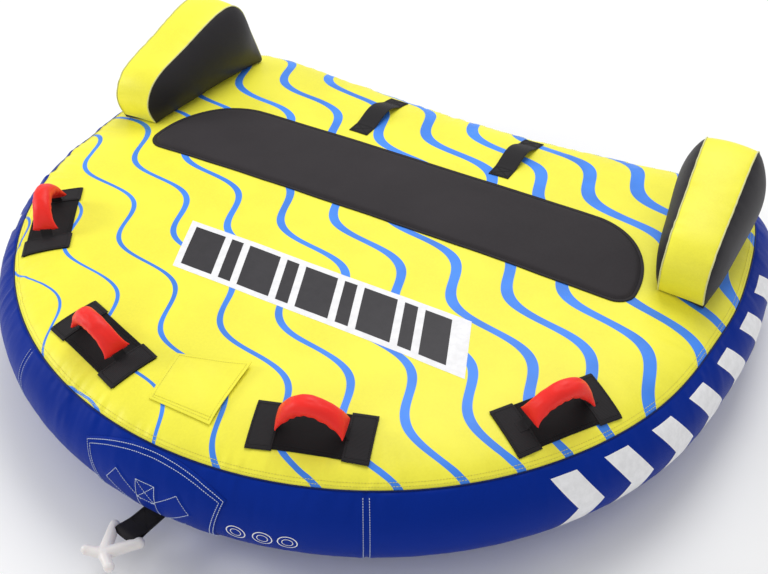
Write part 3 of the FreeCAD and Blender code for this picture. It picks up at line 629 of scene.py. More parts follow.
SHADES = {
    "deck_fabric": deck_shade(),
    "flap_fabric": nylon("flap_fabric", YELLOW, 0.40),
    "side_fabric": nylon("side_fabric", WALL_BLUE, 0.45, 0.06),
    "floor_fabric": nylon("floor_fabric", (16, 62, 168), 0.42),
    "nose_fabric": nylon("nose_fabric", WALL_BLUE, 0.45, 0.06),
    "black_piping": body_cloth("black_piping", (10, 28, 84), 0.45, 0.2, 0.0010, 0.2),
    "pad_neoprene": neoprene("pad_neoprene", (45, 41, 44)),
    "black_webbing": webbing("black_webbing", (37, 35, 37)),
    "handle_patch": webbing("handle_patch", (22, 20, 22), 0.0016),
    "red_sleeve": body_cloth("red_sleeve", (246, 40, 32), 0.42, 0.30, 0.0011, 0.7),
    "bolster_yellow": body_cloth("bolster_yellow", YELLOW, 0.40, 0.28, 0.0012, 0.6),
    "bolster_black": body_cloth("bolster_black", (42, 40, 44), 0.52, 0.18, 0.0012, 0.6),
    "light_piping": thread("light_piping", (226, 224, 160)),
    "white_thread": thread("white_thread", (214, 226, 246)),
    "yellow_thread": thread("yellow_thread", (236, 228, 92)),
    "black_thread": thread("black_thread", (20, 19, 21)),
    "white_print": printed("white_print", (246, 246, 248), 0.90),
    "black_print": printed("black_print", (52, 50, 54)),
    "hook_plastic": moulded("hook_plastic", (236, 231, 229), 0.34, Subsurface_Weight=0.06),
    "valve_plastic": moulded("valve_plastic", (38, 40, 44), 0.42),
    "bladder_vinyl": moulded("bladder_vinyl", (214, 216, 220), 0.30, Coat_Weight=0.3),
    "zip_teeth": moulded("zip_teeth", (28, 28, 30), 0.40),
    "zip_metal": moulded("zip_metal", (176, 178, 182), 0.28, Metallic=1.0),
    "hook_tape": body_cloth("hook_tape", (206, 196, 60), 0.85, 0.2, 0.0014, 0.4),
}
finish_of = {name: shade.material for name, shade in SHADES.items()}


def fit(piece, body, nodes=()):
    """Puts a finished piece on its body."""
    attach(piece, body)
    if nodes:
        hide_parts(*nodes)
    return piece


# ---- cover ----
VALVE_HOLE = (-0.009, -0.461, 0.038)
ZIP_SLOT = (0.350, 0.459, 0.007)


COVER_COLUMNS = 1500
COVER_ANGLES = np.linspace(-math.pi, math.pi, COVER_COLUMNS, endpoint=False)


def cover_sheet(ts, out=cover_out):
    """A band of the cover all the way round the hull, between the first and the last profile length."""
    a, t = np.meshgrid(COVER_ANGLES, ts)
    points = hull_point(a, t, out(a, t))
    faces = grid_faces(len(ts), COVER_COLUMNS, wrap=True)
    cloth = grid_cloth(a * NOSE_RADIUS, t, True, TAU * NOSE_RADIUS)
    return points.reshape(-1, 3), faces, cloth


def cut_hole(points, faces, cloth, inside, snap):
    """Leaves out the faces inside an opening and draws the rim's points onto its edge."""
    held = inside(points)
    drop = held[faces].all(1)
    faces, cloth = faces[~drop], cloth[~drop]
    loose = held & np.isin(np.arange(len(points)), faces)
    points = points.copy()
    points[loose] = snap(points[loose])
    return points, faces, cloth


def filled(name, points, faces, cloth, fan, material):
    """A sheet and the fan of triangles that fills its middle, without stray points."""
    used = np.unique(np.concatenate([faces.ravel(), fan.ravel()]))
    index = np.full(len(points), -1)
    index[used] = np.arange(len(used))
    uv = np.vstack([cloth.reshape(-1, 2), points[fan].reshape(-1, 3)[:, :2]])
    kept = index[faces].tolist() + index[fan].tolist()
    return mesh_object(name, points[used], kept, [finish_of[material]], uv)


def deck_cover():
    near = T_TOP_SEAM + np.concatenate([np.linspace(0, 0.012, 9)[:-1], np.linspace(0.012, 0.10, 26)[:-1]])
    ts = np.concatenate([near, np.linspace(T_TOP_SEAM + 0.10, T_END - 0.0015, 105)])
    points, faces, _ = cover_sheet(ts)
    cloth = points[:, :2][faces]
    middle = len(points)
    points = np.vstack([points, [[0, SCALE_CENTRE_Y, HULL_HEIGHT + float(swell(0.0, SCALE_CENTRE_Y))]]])
    x, y, radius = VALVE_HOLE

    def inside(p):
        return (np.hypot(p[:, 0] - x, p[:, 1] - y) < radius) & (p[:, 2] > 0.2)

    def snap(p):
        away = p[:, :2] - (x, y)
        away /= np.maximum(np.linalg.norm(away, axis=1, keepdims=True), 1e-6)
        p[:, :2] = (x, y) + away * radius
        return p

    points, faces, cloth = cut_hole(points, faces, cloth, inside, snap)
    last = (len(ts) - 1) * COVER_COLUMNS
    fan = np.array([[last + j, last + (j + 1) % COVER_COLUMNS, middle] for j in range(COVER_COLUMNS)])
    return filled("deck_cover", points, faces, cloth, fan, "deck_fabric")


fit(deck_cover(), "deck", ["top_cover"])


rear_angle = math.atan2(REAR_SEAM[1] + NOSE_CENTRE_Y - SCALE_CENTRE_Y, REAR_SEAM[0])
side_angle = math.radians(-90 + PANEL_SEAM_ANGLE)


def panel_seam_angles():
    """The four upright seams, as angles about the hull's scale centre."""
    x = NOSE_RADIUS * math.cos(side_angle)
    y = NOSE_RADIUS * math.sin(side_angle) + NOSE_CENTRE_Y - SCALE_CENTRE_Y
    front = math.atan2(y, x)
    return front, math.pi - front - TAU, rear_angle, math.pi - rear_angle


FRONT_SEAM_RIGHT, FRONT_SEAM_LEFT, REAR_SEAM_RIGHT, REAR_SEAM_LEFT = panel_seam_angles()
SEAMS = [FRONT_SEAM_RIGHT, FRONT_SEAM_LEFT, REAR_SEAM_RIGHT, REAR_SEAM_LEFT]


def wall_out(angle, t):
    """The wall's unevenness, with a groove and a raised lip on both sides at each upright seam."""
    out = cover_out(angle, t)
    for seam in SEAMS:
        away = (angle - seam + math.pi) % TAU - math.pi
        arc = away * NOSE_RADIUS
        groove = 0.0016 * np.exp(-(arc / 0.0035) ** 2)
        lip = 0.0006 * np.exp(-((np.abs(arc) - 0.012) / 0.006) ** 2)
        out = out - groove + lip
    return out


def wall_cover():
    near = np.linspace(0, 0.012, 7)[:-1]
    middle = np.linspace(T_BOTTOM_SEAM + 0.012, T_TOP_SEAM - 0.012, 44)
    ts = np.concatenate([T_BOTTOM_SEAM + near, middle, T_TOP_SEAM - near[::-1]])
    points, faces, cloth = cover_sheet(ts, wall_out)
    return mesh_object("wall_cover", points, faces, [finish_of["side_fabric"]], cloth)


fit(wall_cover(), "deck",
    ["side_cover_front", "side_cover_left", "side_cover_right", "side_cover_rear"])


def floor_out(angle, t):
    """The flat of the floor stays just above the ground; its turned-up rim follows the cover."""
    flat = hull_point(angle, t)[..., 2] < 0.001
    dents = np.abs(noise_field(21, angle * NOSE_RADIUS, t, 0.05, 0.06, TAU * NOSE_RADIUS))
    return np.where(flat, -0.0004 - 0.0004 * dents, np.minimum(cover_out(angle, t), 0.002))


def floor_cover():
    flat_scale = HULL_PROFILE[0][0]
    turn_in = np.interp(flat_scale * NOSE_REACH, PROFILE[:WIDEST, 0], ALONG[:WIDEST])
    rim = T_BOTTOM_SEAM - 0.012
    ts = np.concatenate([np.linspace(0.002, turn_in, 120)[:-1], np.linspace(turn_in, rim, 34)[:-1],
                         np.linspace(rim, T_BOTTOM_SEAM, 7)])
    points, faces, cloth = cover_sheet(ts, floor_out)
    points[:, 2] = np.maximum(points[:, 2], 0.0003)
    half_x, y, half_y = ZIP_SLOT

    def inside(p):
        return (np.abs(p[:, 0]) < half_x) & (np.abs(p[:, 1] - y) < half_y) & (p[:, 2] < 0.02)

    def snap(p):
        p[:, 1] = y + np.sign(p[:, 1] - y) * half_y
        return p

    points, faces, cloth = cut_hole(points, faces, cloth, inside, snap)
    middle = len(points)
    fan = np.array([[(j + 1) % COVER_COLUMNS, j, middle] for j in range(COVER_COLUMNS)])
    points = np.vstack([points, [[0, SCALE_CENTRE_Y, 0.0006]]])
    return filled("floor_cover", points, faces, cloth, fan, "floor_fabric")


fit(floor_cover(), "deck", ["bottom_cover"])


def seam_line_angles(count=3000):
    return np.linspace(-math.pi, math.pi, count)


def piping():
    angle = seam_line_angles(1600)[:-1]
    line = hull_point(angle, T_TOP_SEAM, 0.0006 + gathers(angle, np.full_like(angle, T_TOP_SEAM)))
    points, faces = tube_part(line, 0.0016, 10, closed=True)
    made = mesh_object("top_piping_cord", points, faces, [finish_of["black_piping"]])
    return fit(made, "deck", ["top_piping"])


piping()


def stitched(name, body, material, lines, slot=None, **sizes):
    parts = [stitch_part(points, normals, **sizes) for points, normals in lines]
    return fit(join_mesh(name, parts, finish_of[material]), body)


def edge_stitches():
    """Two rows beside the piping on the deck and one above the floor panel's seam on the wall."""
    angle = seam_line_angles()
    rows = [hull_line(angle, T_TOP_SEAM + away, 0.0) for away in (0.0075, 0.0145)]
    stitched("deck_edge_stitches", "deck", "yellow_thread", rows, pitch=0.0056, length=0.0042)
    wall_rows = [hull_line(angle, T_BOTTOM_SEAM + 0.0080, 0.0)]
    stitched("floor_seam_stitches", "deck", "white_thread", wall_rows,
             pitch=0.0060, length=0.0042, thick=0.00035)


def wall_line(angle, t, out=0.0):
    angle, t = np.broadcast_arrays(np.asarray(angle, float), np.asarray(t, float))
    return hull_point(angle, t, out + wall_out(angle, t)), hull_normal(angle, t)


def panel_seam_stitches():
    heights = np.linspace(T_BOTTOM_SEAM + 0.006, T_TOP_SEAM - 0.011, 60)
    rows = [wall_line(np.full(60, seam) + side * 0.0062 / NOSE_RADIUS, heights)
            for seam in SEAMS for side in (-1, 1)]
    stitched("panel_seam_stitches", "deck", "white_thread", rows, thick=0.0006)


edge_stitches()
panel_seam_stitches()


# ---- seat pad ----
PAD_HALF_WIDTH = 0.618
PAD_FRONT = 0.153
PAD_REAR = 0.408
PAD_CORNER = 0.044
PAD_STRAIGHT = 0.450
# the sewn hem and the plump shoulder inside it: (inset from the edge, height above the deck)
PAD_HEM = [
    (0.0, 0.0006), (0.0, 0.0014), (0.0004, 0.0021), (0.0015, 0.0024), (0.0060, 0.0023), (0.0088, 0.0020),
    (0.0105, 0.0027), (0.0125, 0.0042), (0.0150, 0.0055), (0.0190, 0.0062), (0.0260, 0.0066),
    (0.0360, 0.0069),
]


def pad_outline(count=420):
    """Right round the pad from the middle of its front edge, evenly spaced."""
    waist = PAD_FRONT + PAD_CORNER
    turn = np.linspace(-math.pi / 2, 0, 14)
    front = np.stack([PAD_HALF_WIDTH - PAD_CORNER + PAD_CORNER * np.cos(turn),
                      waist + PAD_CORNER * np.sin(turn)], 1)
    turn = np.linspace(0, math.pi / 2, 40)[1:]
    rear = np.stack([PAD_STRAIGHT + (PAD_HALF_WIDTH - PAD_STRAIGHT) * np.cos(turn),
                     waist + (PAD_REAR - waist) * np.sin(turn)], 1)
    right = np.vstack([[[0, PAD_FRONT]], front, rear, [[0, PAD_REAR]]])
    whole = np.vstack([right, right[-2:0:-1] * (-1, 1)])
    closed = np.vstack([whole, whole[:1]])
    run = run_along(closed)
    at = np.linspace(0, run[-1], count, endpoint=False)
    return np.stack([np.interp(at, run, closed[:, k]) for k in range(2)], 1)


def inset_outline(line, distance):
    ahead = np.roll(line, -1, 0) - np.roll(line, 1, 0)
    ahead /= np.linalg.norm(ahead, axis=1, keepdims=True)
    inward = np.stack([-ahead[:, 1], ahead[:, 0]], 1)
    return line + inward * distance


def seat_pad():
    outline = pad_outline()
    count = len(outline)
    loops, heights = [], []
    for inset, height in PAD_HEM:
        loops.append(inset_outline(outline, inset))
        heights.append(np.full(count, height))
    inner = loops[-1]
    spine_y = (PAD_FRONT + PAD_REAR) / 2
    spine = np.stack([np.clip(inner[:, 0], -PAD_STRAIGHT, PAD_STRAIGHT), np.full(count, spine_y)], 1)
    for share in np.linspace(0, 1, 22)[1:]:
        loops.append(inner + (spine - inner) * share)
        heights.append(np.full(count, 0.0069 + 0.0016 * share * (2 - share)))
    plan, height = np.stack(loops), np.stack(heights)
    x, y = plan[..., 0], plan[..., 1]
    angle, t = deck_place(x, y)
    middle = np.clip((np.arange(len(loops)) - 8) / 6, 0, 1)[:, None]
    height = (height + middle * 0.0009 * noise_field(31, x, y, 0.09, 0.05)
              + middle * 0.0005 * noise_field(32, x, y, 0.028, 0.05))
    points = hull_point(angle, t, height + swell(x, y))
    faces = grid_faces(len(loops), count, wrap=True)
    flat = plan.reshape(-1, 2)
    made = mesh_object("seat_pad", points, faces, [finish_of["pad_neoprene"]], flat[faces])
    fit(made, "deck", ["seat_pad_cover", "seat_pad_foam"])
    row = inset_outline(np.vstack([outline, outline[:1]]), 0.0082)
    angle, t = deck_place(row[:, 0], row[:, 1])
    line = hull_point(angle, t, 0.0020 + swell(row[:, 0], row[:, 1]))
    stitched("seat_pad_stitches", "deck", "black_thread", [(line, hull_normal(angle, t))], thick=0.0006)
    binding = inset_outline(outline, 0.0012)
    angle, t = deck_place(binding[:, 0], binding[:, 1])
    line = hull_point(angle, t, 0.0016 + swell(binding[:, 0], binding[:, 1]))
    edge_points, edge_faces = tube_part(line, 0.0013, 8, closed=True)
    made = mesh_object("seat_pad_binding", edge_points, edge_faces, [finish_of["black_thread"]])
    fit(made, "deck")


seat_pad()


# ---- laid patches ----
def laid_slab(name, place, length, width, low, high, material, counts=(40, 24), radius=0.0016, depth=0.0007,
              relief=None):
    """A thin rectangle lying on the deck; place turns its own (u, v) into plan (x, y)."""
    u = edged(counts[0], 0.0008, length)
    v = edged(counts[1], 0.0008, width)
    u, v = np.meshgrid(u, v)
    x, y = place(u - length / 2, v - width / 2)
    angle, t = deck_place(x, y)
    lift = high - edge_drop(u, v, length, width, radius, depth)
    if relief is not None:
        lift = lift + relief(u - length / 2, v - width / 2)
    rise = swell(x, y)
    top, bottom = hull_point(angle, t, lift + rise), hull_point(angle, t, low + rise)
    return slab_object(name, top, bottom, u, v, finish_of[material])


def turned(x0, y0, degrees, side=1):
    c, s = math.cos(math.radians(degrees)), math.sin(math.radians(degrees))

    def place(u, v):
        return side * (x0 + u * c - v * s), y0 + u * s + v * c
    return place


def laid_rows(place, corners, out, closed=True, count=40):
    """A stitch row through local corners on a laid patch."""
    corners = list(corners) + ([corners[0]] if closed else [])
    line = []
    for a, b in zip(corners[:-1], corners[1:]):
        share = np.linspace(0, 1, count)[:, None]
        line.append(np.array(a) * (1 - share) + np.array(b) * share)
    line = np.vstack(line)
    line = line[np.concatenate([[True], np.linalg.norm(np.diff(line, axis=0), axis=1) > 1e-7])]
    x, y = place(line[:, 0], line[:, 1])
    angle, t = deck_place(x, y)
    return hull_point(angle, t, out + swell(x, y)), hull_normal(angle, t)


def box_corners(half_u, half_v, u=0.0, v=0.0):
    return [(u + a * half_u, v + b * half_v) for a, b in ((-1, -1), (1, -1), (1, 1), (-1, 1))]


HANDLES = [
    ("handle_front_right", 0.242, -0.458, 19.0, 1), ("handle_side_right", 0.606, -0.191, 57.0, 1),
    ("handle_front_left", 0.242, -0.458, 19.0, -1), ("handle_side_left", 0.606, -0.191, 57.0, -1),
]
PATCH = (0.228, 0.098)
BAND = (0.050, 0.106, 0.089)
HANDLE_PIVOT = 0.011
# each grip's lean about its feet in degrees, where its arch peaks and how much higher it is there
GRIP_POSE = {
    "handle_front_right": (0.0, -0.10, 0.010), "handle_side_right": (0.0, 0.18, 0.006),
    "handle_front_left": (7.0, 0.06, 0.0), "handle_side_left": (0.0, -0.05, 0.0),
}
ARCH_RADIUS = 0.06689
ARCH_CENTRE_Z = 0.00011
SLEEVE_END = 72.0


def handle_frame(x, y, degrees, side):
    """Where a handle stands: origin on the deck, and its along, across and up directions."""
    angle, t = deck_place(np.array([x]), np.array([y]))
    origin = hull_point(angle, t)[0]
    up = hull_normal(angle, t)[0]
    c, s = math.cos(math.radians(degrees)), math.sin(math.radians(degrees))
    along = np.array([c, s, 0.0])
    along -= up * along.dot(up)
    along /= np.linalg.norm(along)
    across = np.cross(up, along)
    flip = np.array([side, 1, 1])
    return origin * flip, along * flip, across * flip, up * flip


def leaned(frame_here, degrees):
    """The handle's frame turned about the line through its two feet."""
    origin, along, across, up = frame_here
    c, s = math.cos(math.radians(degrees)), math.sin(math.radians(degrees))
    foot = origin + up * HANDLE_PIVOT
    across, up = across * c + up * s, up * c - across * s
    return foot - up * HANDLE_PIVOT, along, across, up


def sleeve_points(peak, taller, rows=90, sides=48):
    """The sleeve's surface in its own frame: a stuffed tube pressed flat across at its ends."""
    share = np.linspace(-1, 1, rows)
    turn = np.linspace(0, TAU, sides, endpoint=False)
    a, psi = np.meshgrid(share, turn, indexing="ij")
    outer, across = np.cos(psi), np.sin(psi)
    end = math.radians(SLEEVE_END) + 0.05 * across - 0.05 * outer
    at = a * end
    full = 1 - np.abs(a) ** 2.6
    tall = 0.0030 + 0.0140 * full
    wide = 0.0255 - 0.0060 * full + 0.0040 * np.abs(a) ** 10
    inner = np.clip(-outer, 0, 1) ** 0.7
    folds = inner * 0.0013 * np.sin(a * 26 + 1.5 * np.sin(a * 5 + 1)) * full
    folds = folds + 0.0008 * noise_field(41, a * 0.075, psi * 0.018, 0.010, 0.016) * (0.5 + 0.5 * full)
    folds = folds + 0.0008 * noise_field(42, a * 0.075, psi * 0.018, 0.026, 0.030)
    crown = taller * np.exp(-(((a - peak) / 0.42) ** 2)) * full
    radial = ARCH_RADIUS + crown + (tall + folds) * np.sign(outer) * np.abs(outer) ** 0.85
    lateral = (wide + folds) * np.sign(across) * np.abs(across) ** 0.9
    return np.stack([radial * np.sin(at), lateral, ARCH_CENTRE_Z + radial * np.cos(at)], -1)


def in_frame(points, frame):
    origin, along, across, up = frame
    return origin + points[..., :1] * along + points[..., 1:2] * across + points[..., 2:] * up


def end_caps(rows, sides):
    """Quads that close a tube's flattened ends across, point to opposite point."""
    faces = []
    for base, flip in ((0, False), ((rows - 1) * sides, True)):
        for k in range(sides // 2):
            a, b = base + k, base + k + 1
            c, d = base + (sides - k - 1) % sides, base + (sides - k) % sides
            quad = [a, d, c, b] if not flip else [a, b, c, d]
            quad = list(dict.fromkeys(quad))
            if len(quad) > 2:
                faces.append(quad)
    return faces


def handle(name, x, y, degrees, side):
    place = turned(x, y, degrees, side)
    patch = laid_slab(name + "_pad", place, *PATCH, 0.0004, 0.0028, "handle_patch", (70, 34),
                      relief=lambda u, v: 0.0003 * noise_field(43, u, v, 0.02, 0.02))
    fit(patch, "deck", [name + "_patch"])
    rows = [laid_rows(place, box_corners(PATCH[0] / 2 - 0.004, PATCH[1] / 2 - 0.004), 0.0027),
            laid_rows(place, box_corners(PATCH[0] / 2 - 0.009, PATCH[1] / 2 - 0.009), 0.0027)]
    bands = []
    for end in (-1, 1):
        shift = end * BAND[2]
        band_place = lambda u, v, s=shift: place(u + s, v)
        band = laid_slab(name + "_band", band_place, *BAND[:2], 0.0029, 0.0049, "black_webbing", (18, 36),
                         relief=lambda u, v: -0.0016 * np.clip((np.abs(v) - 0.0485) / 0.0045, 0, 1))
        bands.append(band)
        rows.append(laid_rows(band_place, box_corners(BAND[0] / 2 - 0.004, BAND[1] / 2 - 0.008), 0.0048))
    make_one(bands)
    fit(bands[0], "deck", [name + "_bands"])
    bands[0].name = name + "_end_bands"
    stitched(name + "_stitches", "deck", "black_thread", rows, thick=0.0005)
    lean, peak, taller = GRIP_POSE[name]
    frame_here = leaned(handle_frame(x, y, degrees, side), lean)
    shape = in_frame(sleeve_points(peak, taller), frame_here)
    rows_count, sides = shape.shape[:2]
    faces = grid_faces(rows_count, sides, wrap=True).tolist() + end_caps(rows_count, sides)
    sleeve = mesh_object(name + "_grip", shape, faces, [finish_of["red_sleeve"]])
    outward(sleeve)
    soften(sleeve)
    fit(sleeve, name, [name + "_sleeve", name + "_core"])
    grip_strap(name, frame_here)


def grip_strap(name, frame_here):
    """The webbing inside the sleeve; its feet lie on the patch and above them it takes the grip's lean."""
    angle = np.linspace(-1, 1, 50) * math.radians(80)
    arc = np.stack([ARCH_RADIUS * np.sin(angle), ARCH_CENTRE_Z + ARCH_RADIUS * np.cos(angle)], 1)
    foot = np.array([(0.0860, 0.0034), (0.0760, 0.0036), (0.0690, 0.0052), (0.0668, 0.0085)])
    path = np.vstack([foot * (-1, 1), arc, foot[::-1]])
    path = smooth_curve(path, 110)
    ahead = np.gradient(path, axis=0)
    ahead /= np.linalg.norm(ahead, axis=1, keepdims=True)
    upward = np.stack([-ahead[:, 1], ahead[:, 0]], 1)
    v = edged(8, 0.0006, 0.024)
    run = run_along(path)
    u, w = np.meshgrid(v, run)
    blocks = []
    for lift in (0.0008, -0.0008):
        line = path + upward * lift
        along, height = (np.broadcast_to(line[:, k:k + 1], u.shape) for k in (0, 1))
        local = np.stack([along, u - 0.012, height], -1)
        blocks.append(in_frame(local, frame_here))
    made = slab_object(name + "_strap", blocks[0], blocks[1], u, w, finish_of["black_webbing"])
    outward(made)
    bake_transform(made)
    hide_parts(name + "_webbing")


def make_one(objects):
    """Joins pieces of the same material into the first of them."""
    with bpy.context.temp_override(active_object=objects[0], object=objects[0], selected_objects=objects,
                                   selected_editable_objects=objects):
        bpy.ops.object.join()


def outward(obj):
    """Turns every face of a closed piece outward."""
    import bmesh
    form = bmesh.new()
    form.from_mesh(obj.data)
    bmesh.ops.recalc_face_normals(form, faces=form.faces)
    form.to_mesh(obj.data)
    form.free()


def soften(obj, levels=1):
    modifier = obj.modifiers.new("smooth", "SUBSURF")
    modifier.levels = modifier.render_levels = levels
    shape = bpy.data.meshes.new_from_object(obj.evaluated_get(bpy.context.evaluated_depsgraph_get()))
    obj.modifiers.clear()
    old, obj.data = obj.data, shape
    shape.name = obj.name
    bpy.data.meshes.remove(old)


for spec in HANDLES:
    handle(*spec)


# ---- rear straps ----
STRAP_X = 0.189
STRAP_ENDS = (0.441, 0.654)
STRAP_TAB = 0.040


def rear_strap(name, side):
    length = STRAP_ENDS[1] - STRAP_ENDS[0]
    v = np.concatenate([[0, 0.0008], np.linspace(0, length, 90)[1:-1], [length - 0.0008, length]])
    u = edged(14, 0.0008, 0.050)
    u, v = np.meshgrid(u, v)
    x, y = STRAP_X - 0.025 + u, STRAP_ENDS[0] + v
    span = (v - STRAP_TAB + 0.002) / (length - 2 * STRAP_TAB + 0.004)
    rise = np.where((span > 0) & (span < 1), 0.0170 * np.sin(np.clip(span, 0, 1) * math.pi) ** 1.35, 0)
    bow = 0.0012 * np.sin(u / 0.050 * math.pi) * (rise > 0)
    x = x * side
    angle, t = deck_place(x, y)
    base = swell(x, y)
    low = 0.0006 + rise + base + bow
    high = 0.0028 + rise + base + bow - edge_drop(u, v, 0.050, length, 0.0014, 0.0006)
    made = slab_object(name, hull_point(angle, t, high), hull_point(angle, t, low), u, v,
                       finish_of["black_webbing"])
    outward(made)
    fit(made, "deck", [name.replace("_webbing", "")])
    place = lambda a, b: (side * (STRAP_X + a), b)
    rows = []
    for start in (STRAP_ENDS[0], STRAP_ENDS[1] - STRAP_TAB):
        box = box_corners(0.021, 0.016, 0.0, start + 0.020)
        rows += [laid_rows(place, box, 0.0027), laid_rows(place, [box[0], box[2]], 0.0027, False),
                 laid_rows(place, [box[1], box[3]], 0.0027, False)]
    stitched(name + "_stitches", "deck", "black_thread", rows, thick=0.0006)


rear_strap("rear_strap_right_webbing", 1)
rear_strap("rear_strap_left_webbing", -1)


# ---- bolsters ----
BOLSTER_INNER = ((0.656, 0.165), (0.608, 0.657))
BOLSTER_OUTER = ((0.753, 0.165), (0.730, 0.657))
BOLSTER_PLUMP = 0.20
BOLSTER_PROFILE = [
    (238, 280), (219, 343), (242, 385), (331, 425), (429, 458), (502, 477), (545, 475), (581, 446),
    (600, 400), (624, 339), (648, 280),
]


def inflate(obj, held, pressure, cap, frames=20):
    """Lets a sewn cover swell as cloth under pressure, keeping the held points where they are."""
    rest = np.array([v.co for v in obj.data.vertices], float)
    group = obj.vertex_groups.new(name="held")
    group.add([int(i) for i in held], 1.0, "REPLACE")
    modifier = obj.modifiers.new("cloth", "CLOTH")
    cloth = modifier.settings
    cloth.quality = 6
    cloth.mass = 0.3
    cloth.tension_stiffness = cloth.compression_stiffness = 25
    cloth.shear_stiffness = 12
    cloth.bending_stiffness = 0.8
    cloth.use_pressure = True
    cloth.uniform_pressure_force = pressure
    cloth.vertex_group_mass = "held"
    cloth.effector_weights.gravity = 0
    modifier.point_cache.frame_start, modifier.point_cache.frame_end = 1, frames
    scene = bpy.context.scene
    for frame_number in range(1, frames + 1):
        scene.frame_set(frame_number)
    settled = obj.evaluated_get(bpy.context.evaluated_depsgraph_get()).to_mesh()
    after = np.array([v.co for v in settled.vertices], float)
    obj.modifiers.clear()
    obj.vertex_groups.clear()
    scene.frame_set(1)
    move = after - rest
    far = np.linalg.norm(move, axis=1, keepdims=True)
    move *= np.minimum(1, cap * np.tanh(far / cap) / np.maximum(far, 1e-9))
    obj.data.vertices.foreach_set("co", (rest + move).ravel())
    obj.data.update()
    return rest + move


def bolster(name, side):
    rows, columns, drops = 110, 17, 22
    over = smooth_curve([(y * MM, z * MM) for y, z in BOLSTER_PROFILE], 900)
    run = run_along(over)
    at = np.linspace(0, run[-1], rows)
    y, z = (np.interp(at, run, over[:, k]) for k in range(2))
    share = np.linspace(0, 1, columns)

    def across(y_line):
        low = np.interp(y_line, *zip(*[(p[1], p[0]) for p in BOLSTER_INNER])) + 0.002
        high = np.interp(y_line, *zip(*[(p[1], p[0]) for p in BOLSTER_OUTER])) - 0.002
        return low[:, None] * (1 - share) + high[:, None] * share

    def deck_z(x, y_line):
        angle, t = deck_place(x, y_line)
        return hull_point(angle, t)[..., 2] + 0.0010 + swell(x, y_line)

    x_top = across(y)
    y_top = np.broadcast_to(y[:, None], x_top.shape)
    floor_top = deck_z(x_top, y_top)
    z_top = np.maximum(np.broadcast_to(z[:, None], x_top.shape), floor_top)
    y_base = np.linspace(y[0], y[-1], rows)
    x_base = across(y_base)
    y_base = np.broadcast_to(y_base[:, None], x_base.shape)
    z_base = deck_z(x_base, y_base)
    top = np.stack([x_top, y_top, z_top], -1)
    base = np.stack([x_base, y_base, z_base], -1)
    base[0], base[-1] = top[0], top[-1]
    fall = np.linspace(0, 1, drops)[None, :, None]
    top[1:-1, :, 2] += 0.006 * (1 - (2 * share - 1) ** 2)
    sides = [top[:, None, j] * (1 - fall) + base[:, None, j] * fall for j in (0, columns - 1)]
    tall = np.clip(top[:, 0, 2] - base[:, 0, 2], 0, 1)
    plump = BOLSTER_PLUMP * tall[:, None] * np.sin(math.pi * fall[..., 0]) ** 0.75
    for block, way in zip(sides, (-1, 1)):
        block[..., 0] += way * plump
    blocks = [top, base] + sides
    faces, kinds, start = [], [], 0
    for kind, block in enumerate(blocks):
        quads = grid_faces(block.shape[0], block.shape[1], start=start)
        faces.append(quads)
        kinds += [0 if kind == 0 else 1] * len(quads)
        start += block.shape[0] * block.shape[1]
    points = np.concatenate([b.reshape(-1, 3) for b in blocks])
    points[:, 0] *= side
    _, index, inverse = np.unique(np.round(points, 6), axis=0, return_index=True, return_inverse=True)
    inverse = np.asarray(inverse).ravel()
    points = points[index]
    solid_faces, solid_kinds = [], []
    for quad, kind in zip(inverse[np.concatenate(faces)].tolist(), kinds):
        corners = list(dict.fromkeys(quad))
        if len(corners) > 2:
            solid_faces.append(corners)
            solid_kinds.append(kind)
    made = mesh_object(name, points, solid_faces, [finish_of["bolster_yellow"], finish_of["bolster_black"]])
    made.data.polygons.foreach_set("material_index", solid_kinds)
    outward(made)
    grid = inverse[:rows * columns].reshape(rows, columns)
    base_grid = inverse[rows * columns:2 * rows * columns].reshape(rows, columns)
    held = np.unique(np.concatenate([base_grid.ravel(), grid[:, 0], grid[:, -1]]))
    shape = inflate(made, held, 4.0, 0.034)
    normals = np.array([v.normal for v in made.data.vertices], float)
    seam_away = np.full(len(shape), 1.0)
    for column in (0, columns - 1):
        line = shape[grid[:, column]]
        distance = np.linalg.norm(shape[:, None, 1:] - line[None, :, 1:], axis=2).min(1) + np.abs(
            shape[:, 0] - np.interp(shape[:, 1], line[:, 1], line[:, 0])) * 0.5
        seam_away = np.minimum(seam_away, distance)
    gather = 0.0011 * noise_field(51, shape[:, 1] + shape[:, 2] * 0.6, shape[:, 0], 0.013, 0.05)
    shape = shape + normals * (gather * np.exp(-seam_away / 0.016))[:, None]
    made.data.vertices.foreach_set("co", shape.ravel())
    seams = [shape[grid[1:-1, column]].copy() for column in (0, columns - 1)]
    soften(made)
    fit(made, "deck",
        [name.replace("cushion", part) for part in ("inner_side", "outer_side", "gusset", "bladder")])
    parts = [tube_part(smooth_line(line), 0.0017, 8) for line in seams]
    fit(join_mesh(name + "_piping", parts, finish_of["light_piping"]), "deck")


def smooth_line(line, count=360):
    return smooth_curve(line, count)


bolster("bolster_right_cushion", 1)
bolster("bolster_left_cushion", -1)


# ---- nose patch and harness ----
NOSE_PATCH_HALF = 0.160
NOSE_PATCH_LOW = 0.075
NOSE_PATCH_SHOULDER = 0.203
NOSE_PATCH_TOP = 0.2385
NOSE_PATCH_NARROWS = 0.034
STRAP_FOOT = (-0.005, 0.103)
# each leg's tilt in degrees, its length and where its stitches begin
HARNESS_LEGS = ((0, 0.084, 0.0), (-52, 0.108, 0.030), (52, 0.108, 0.030))


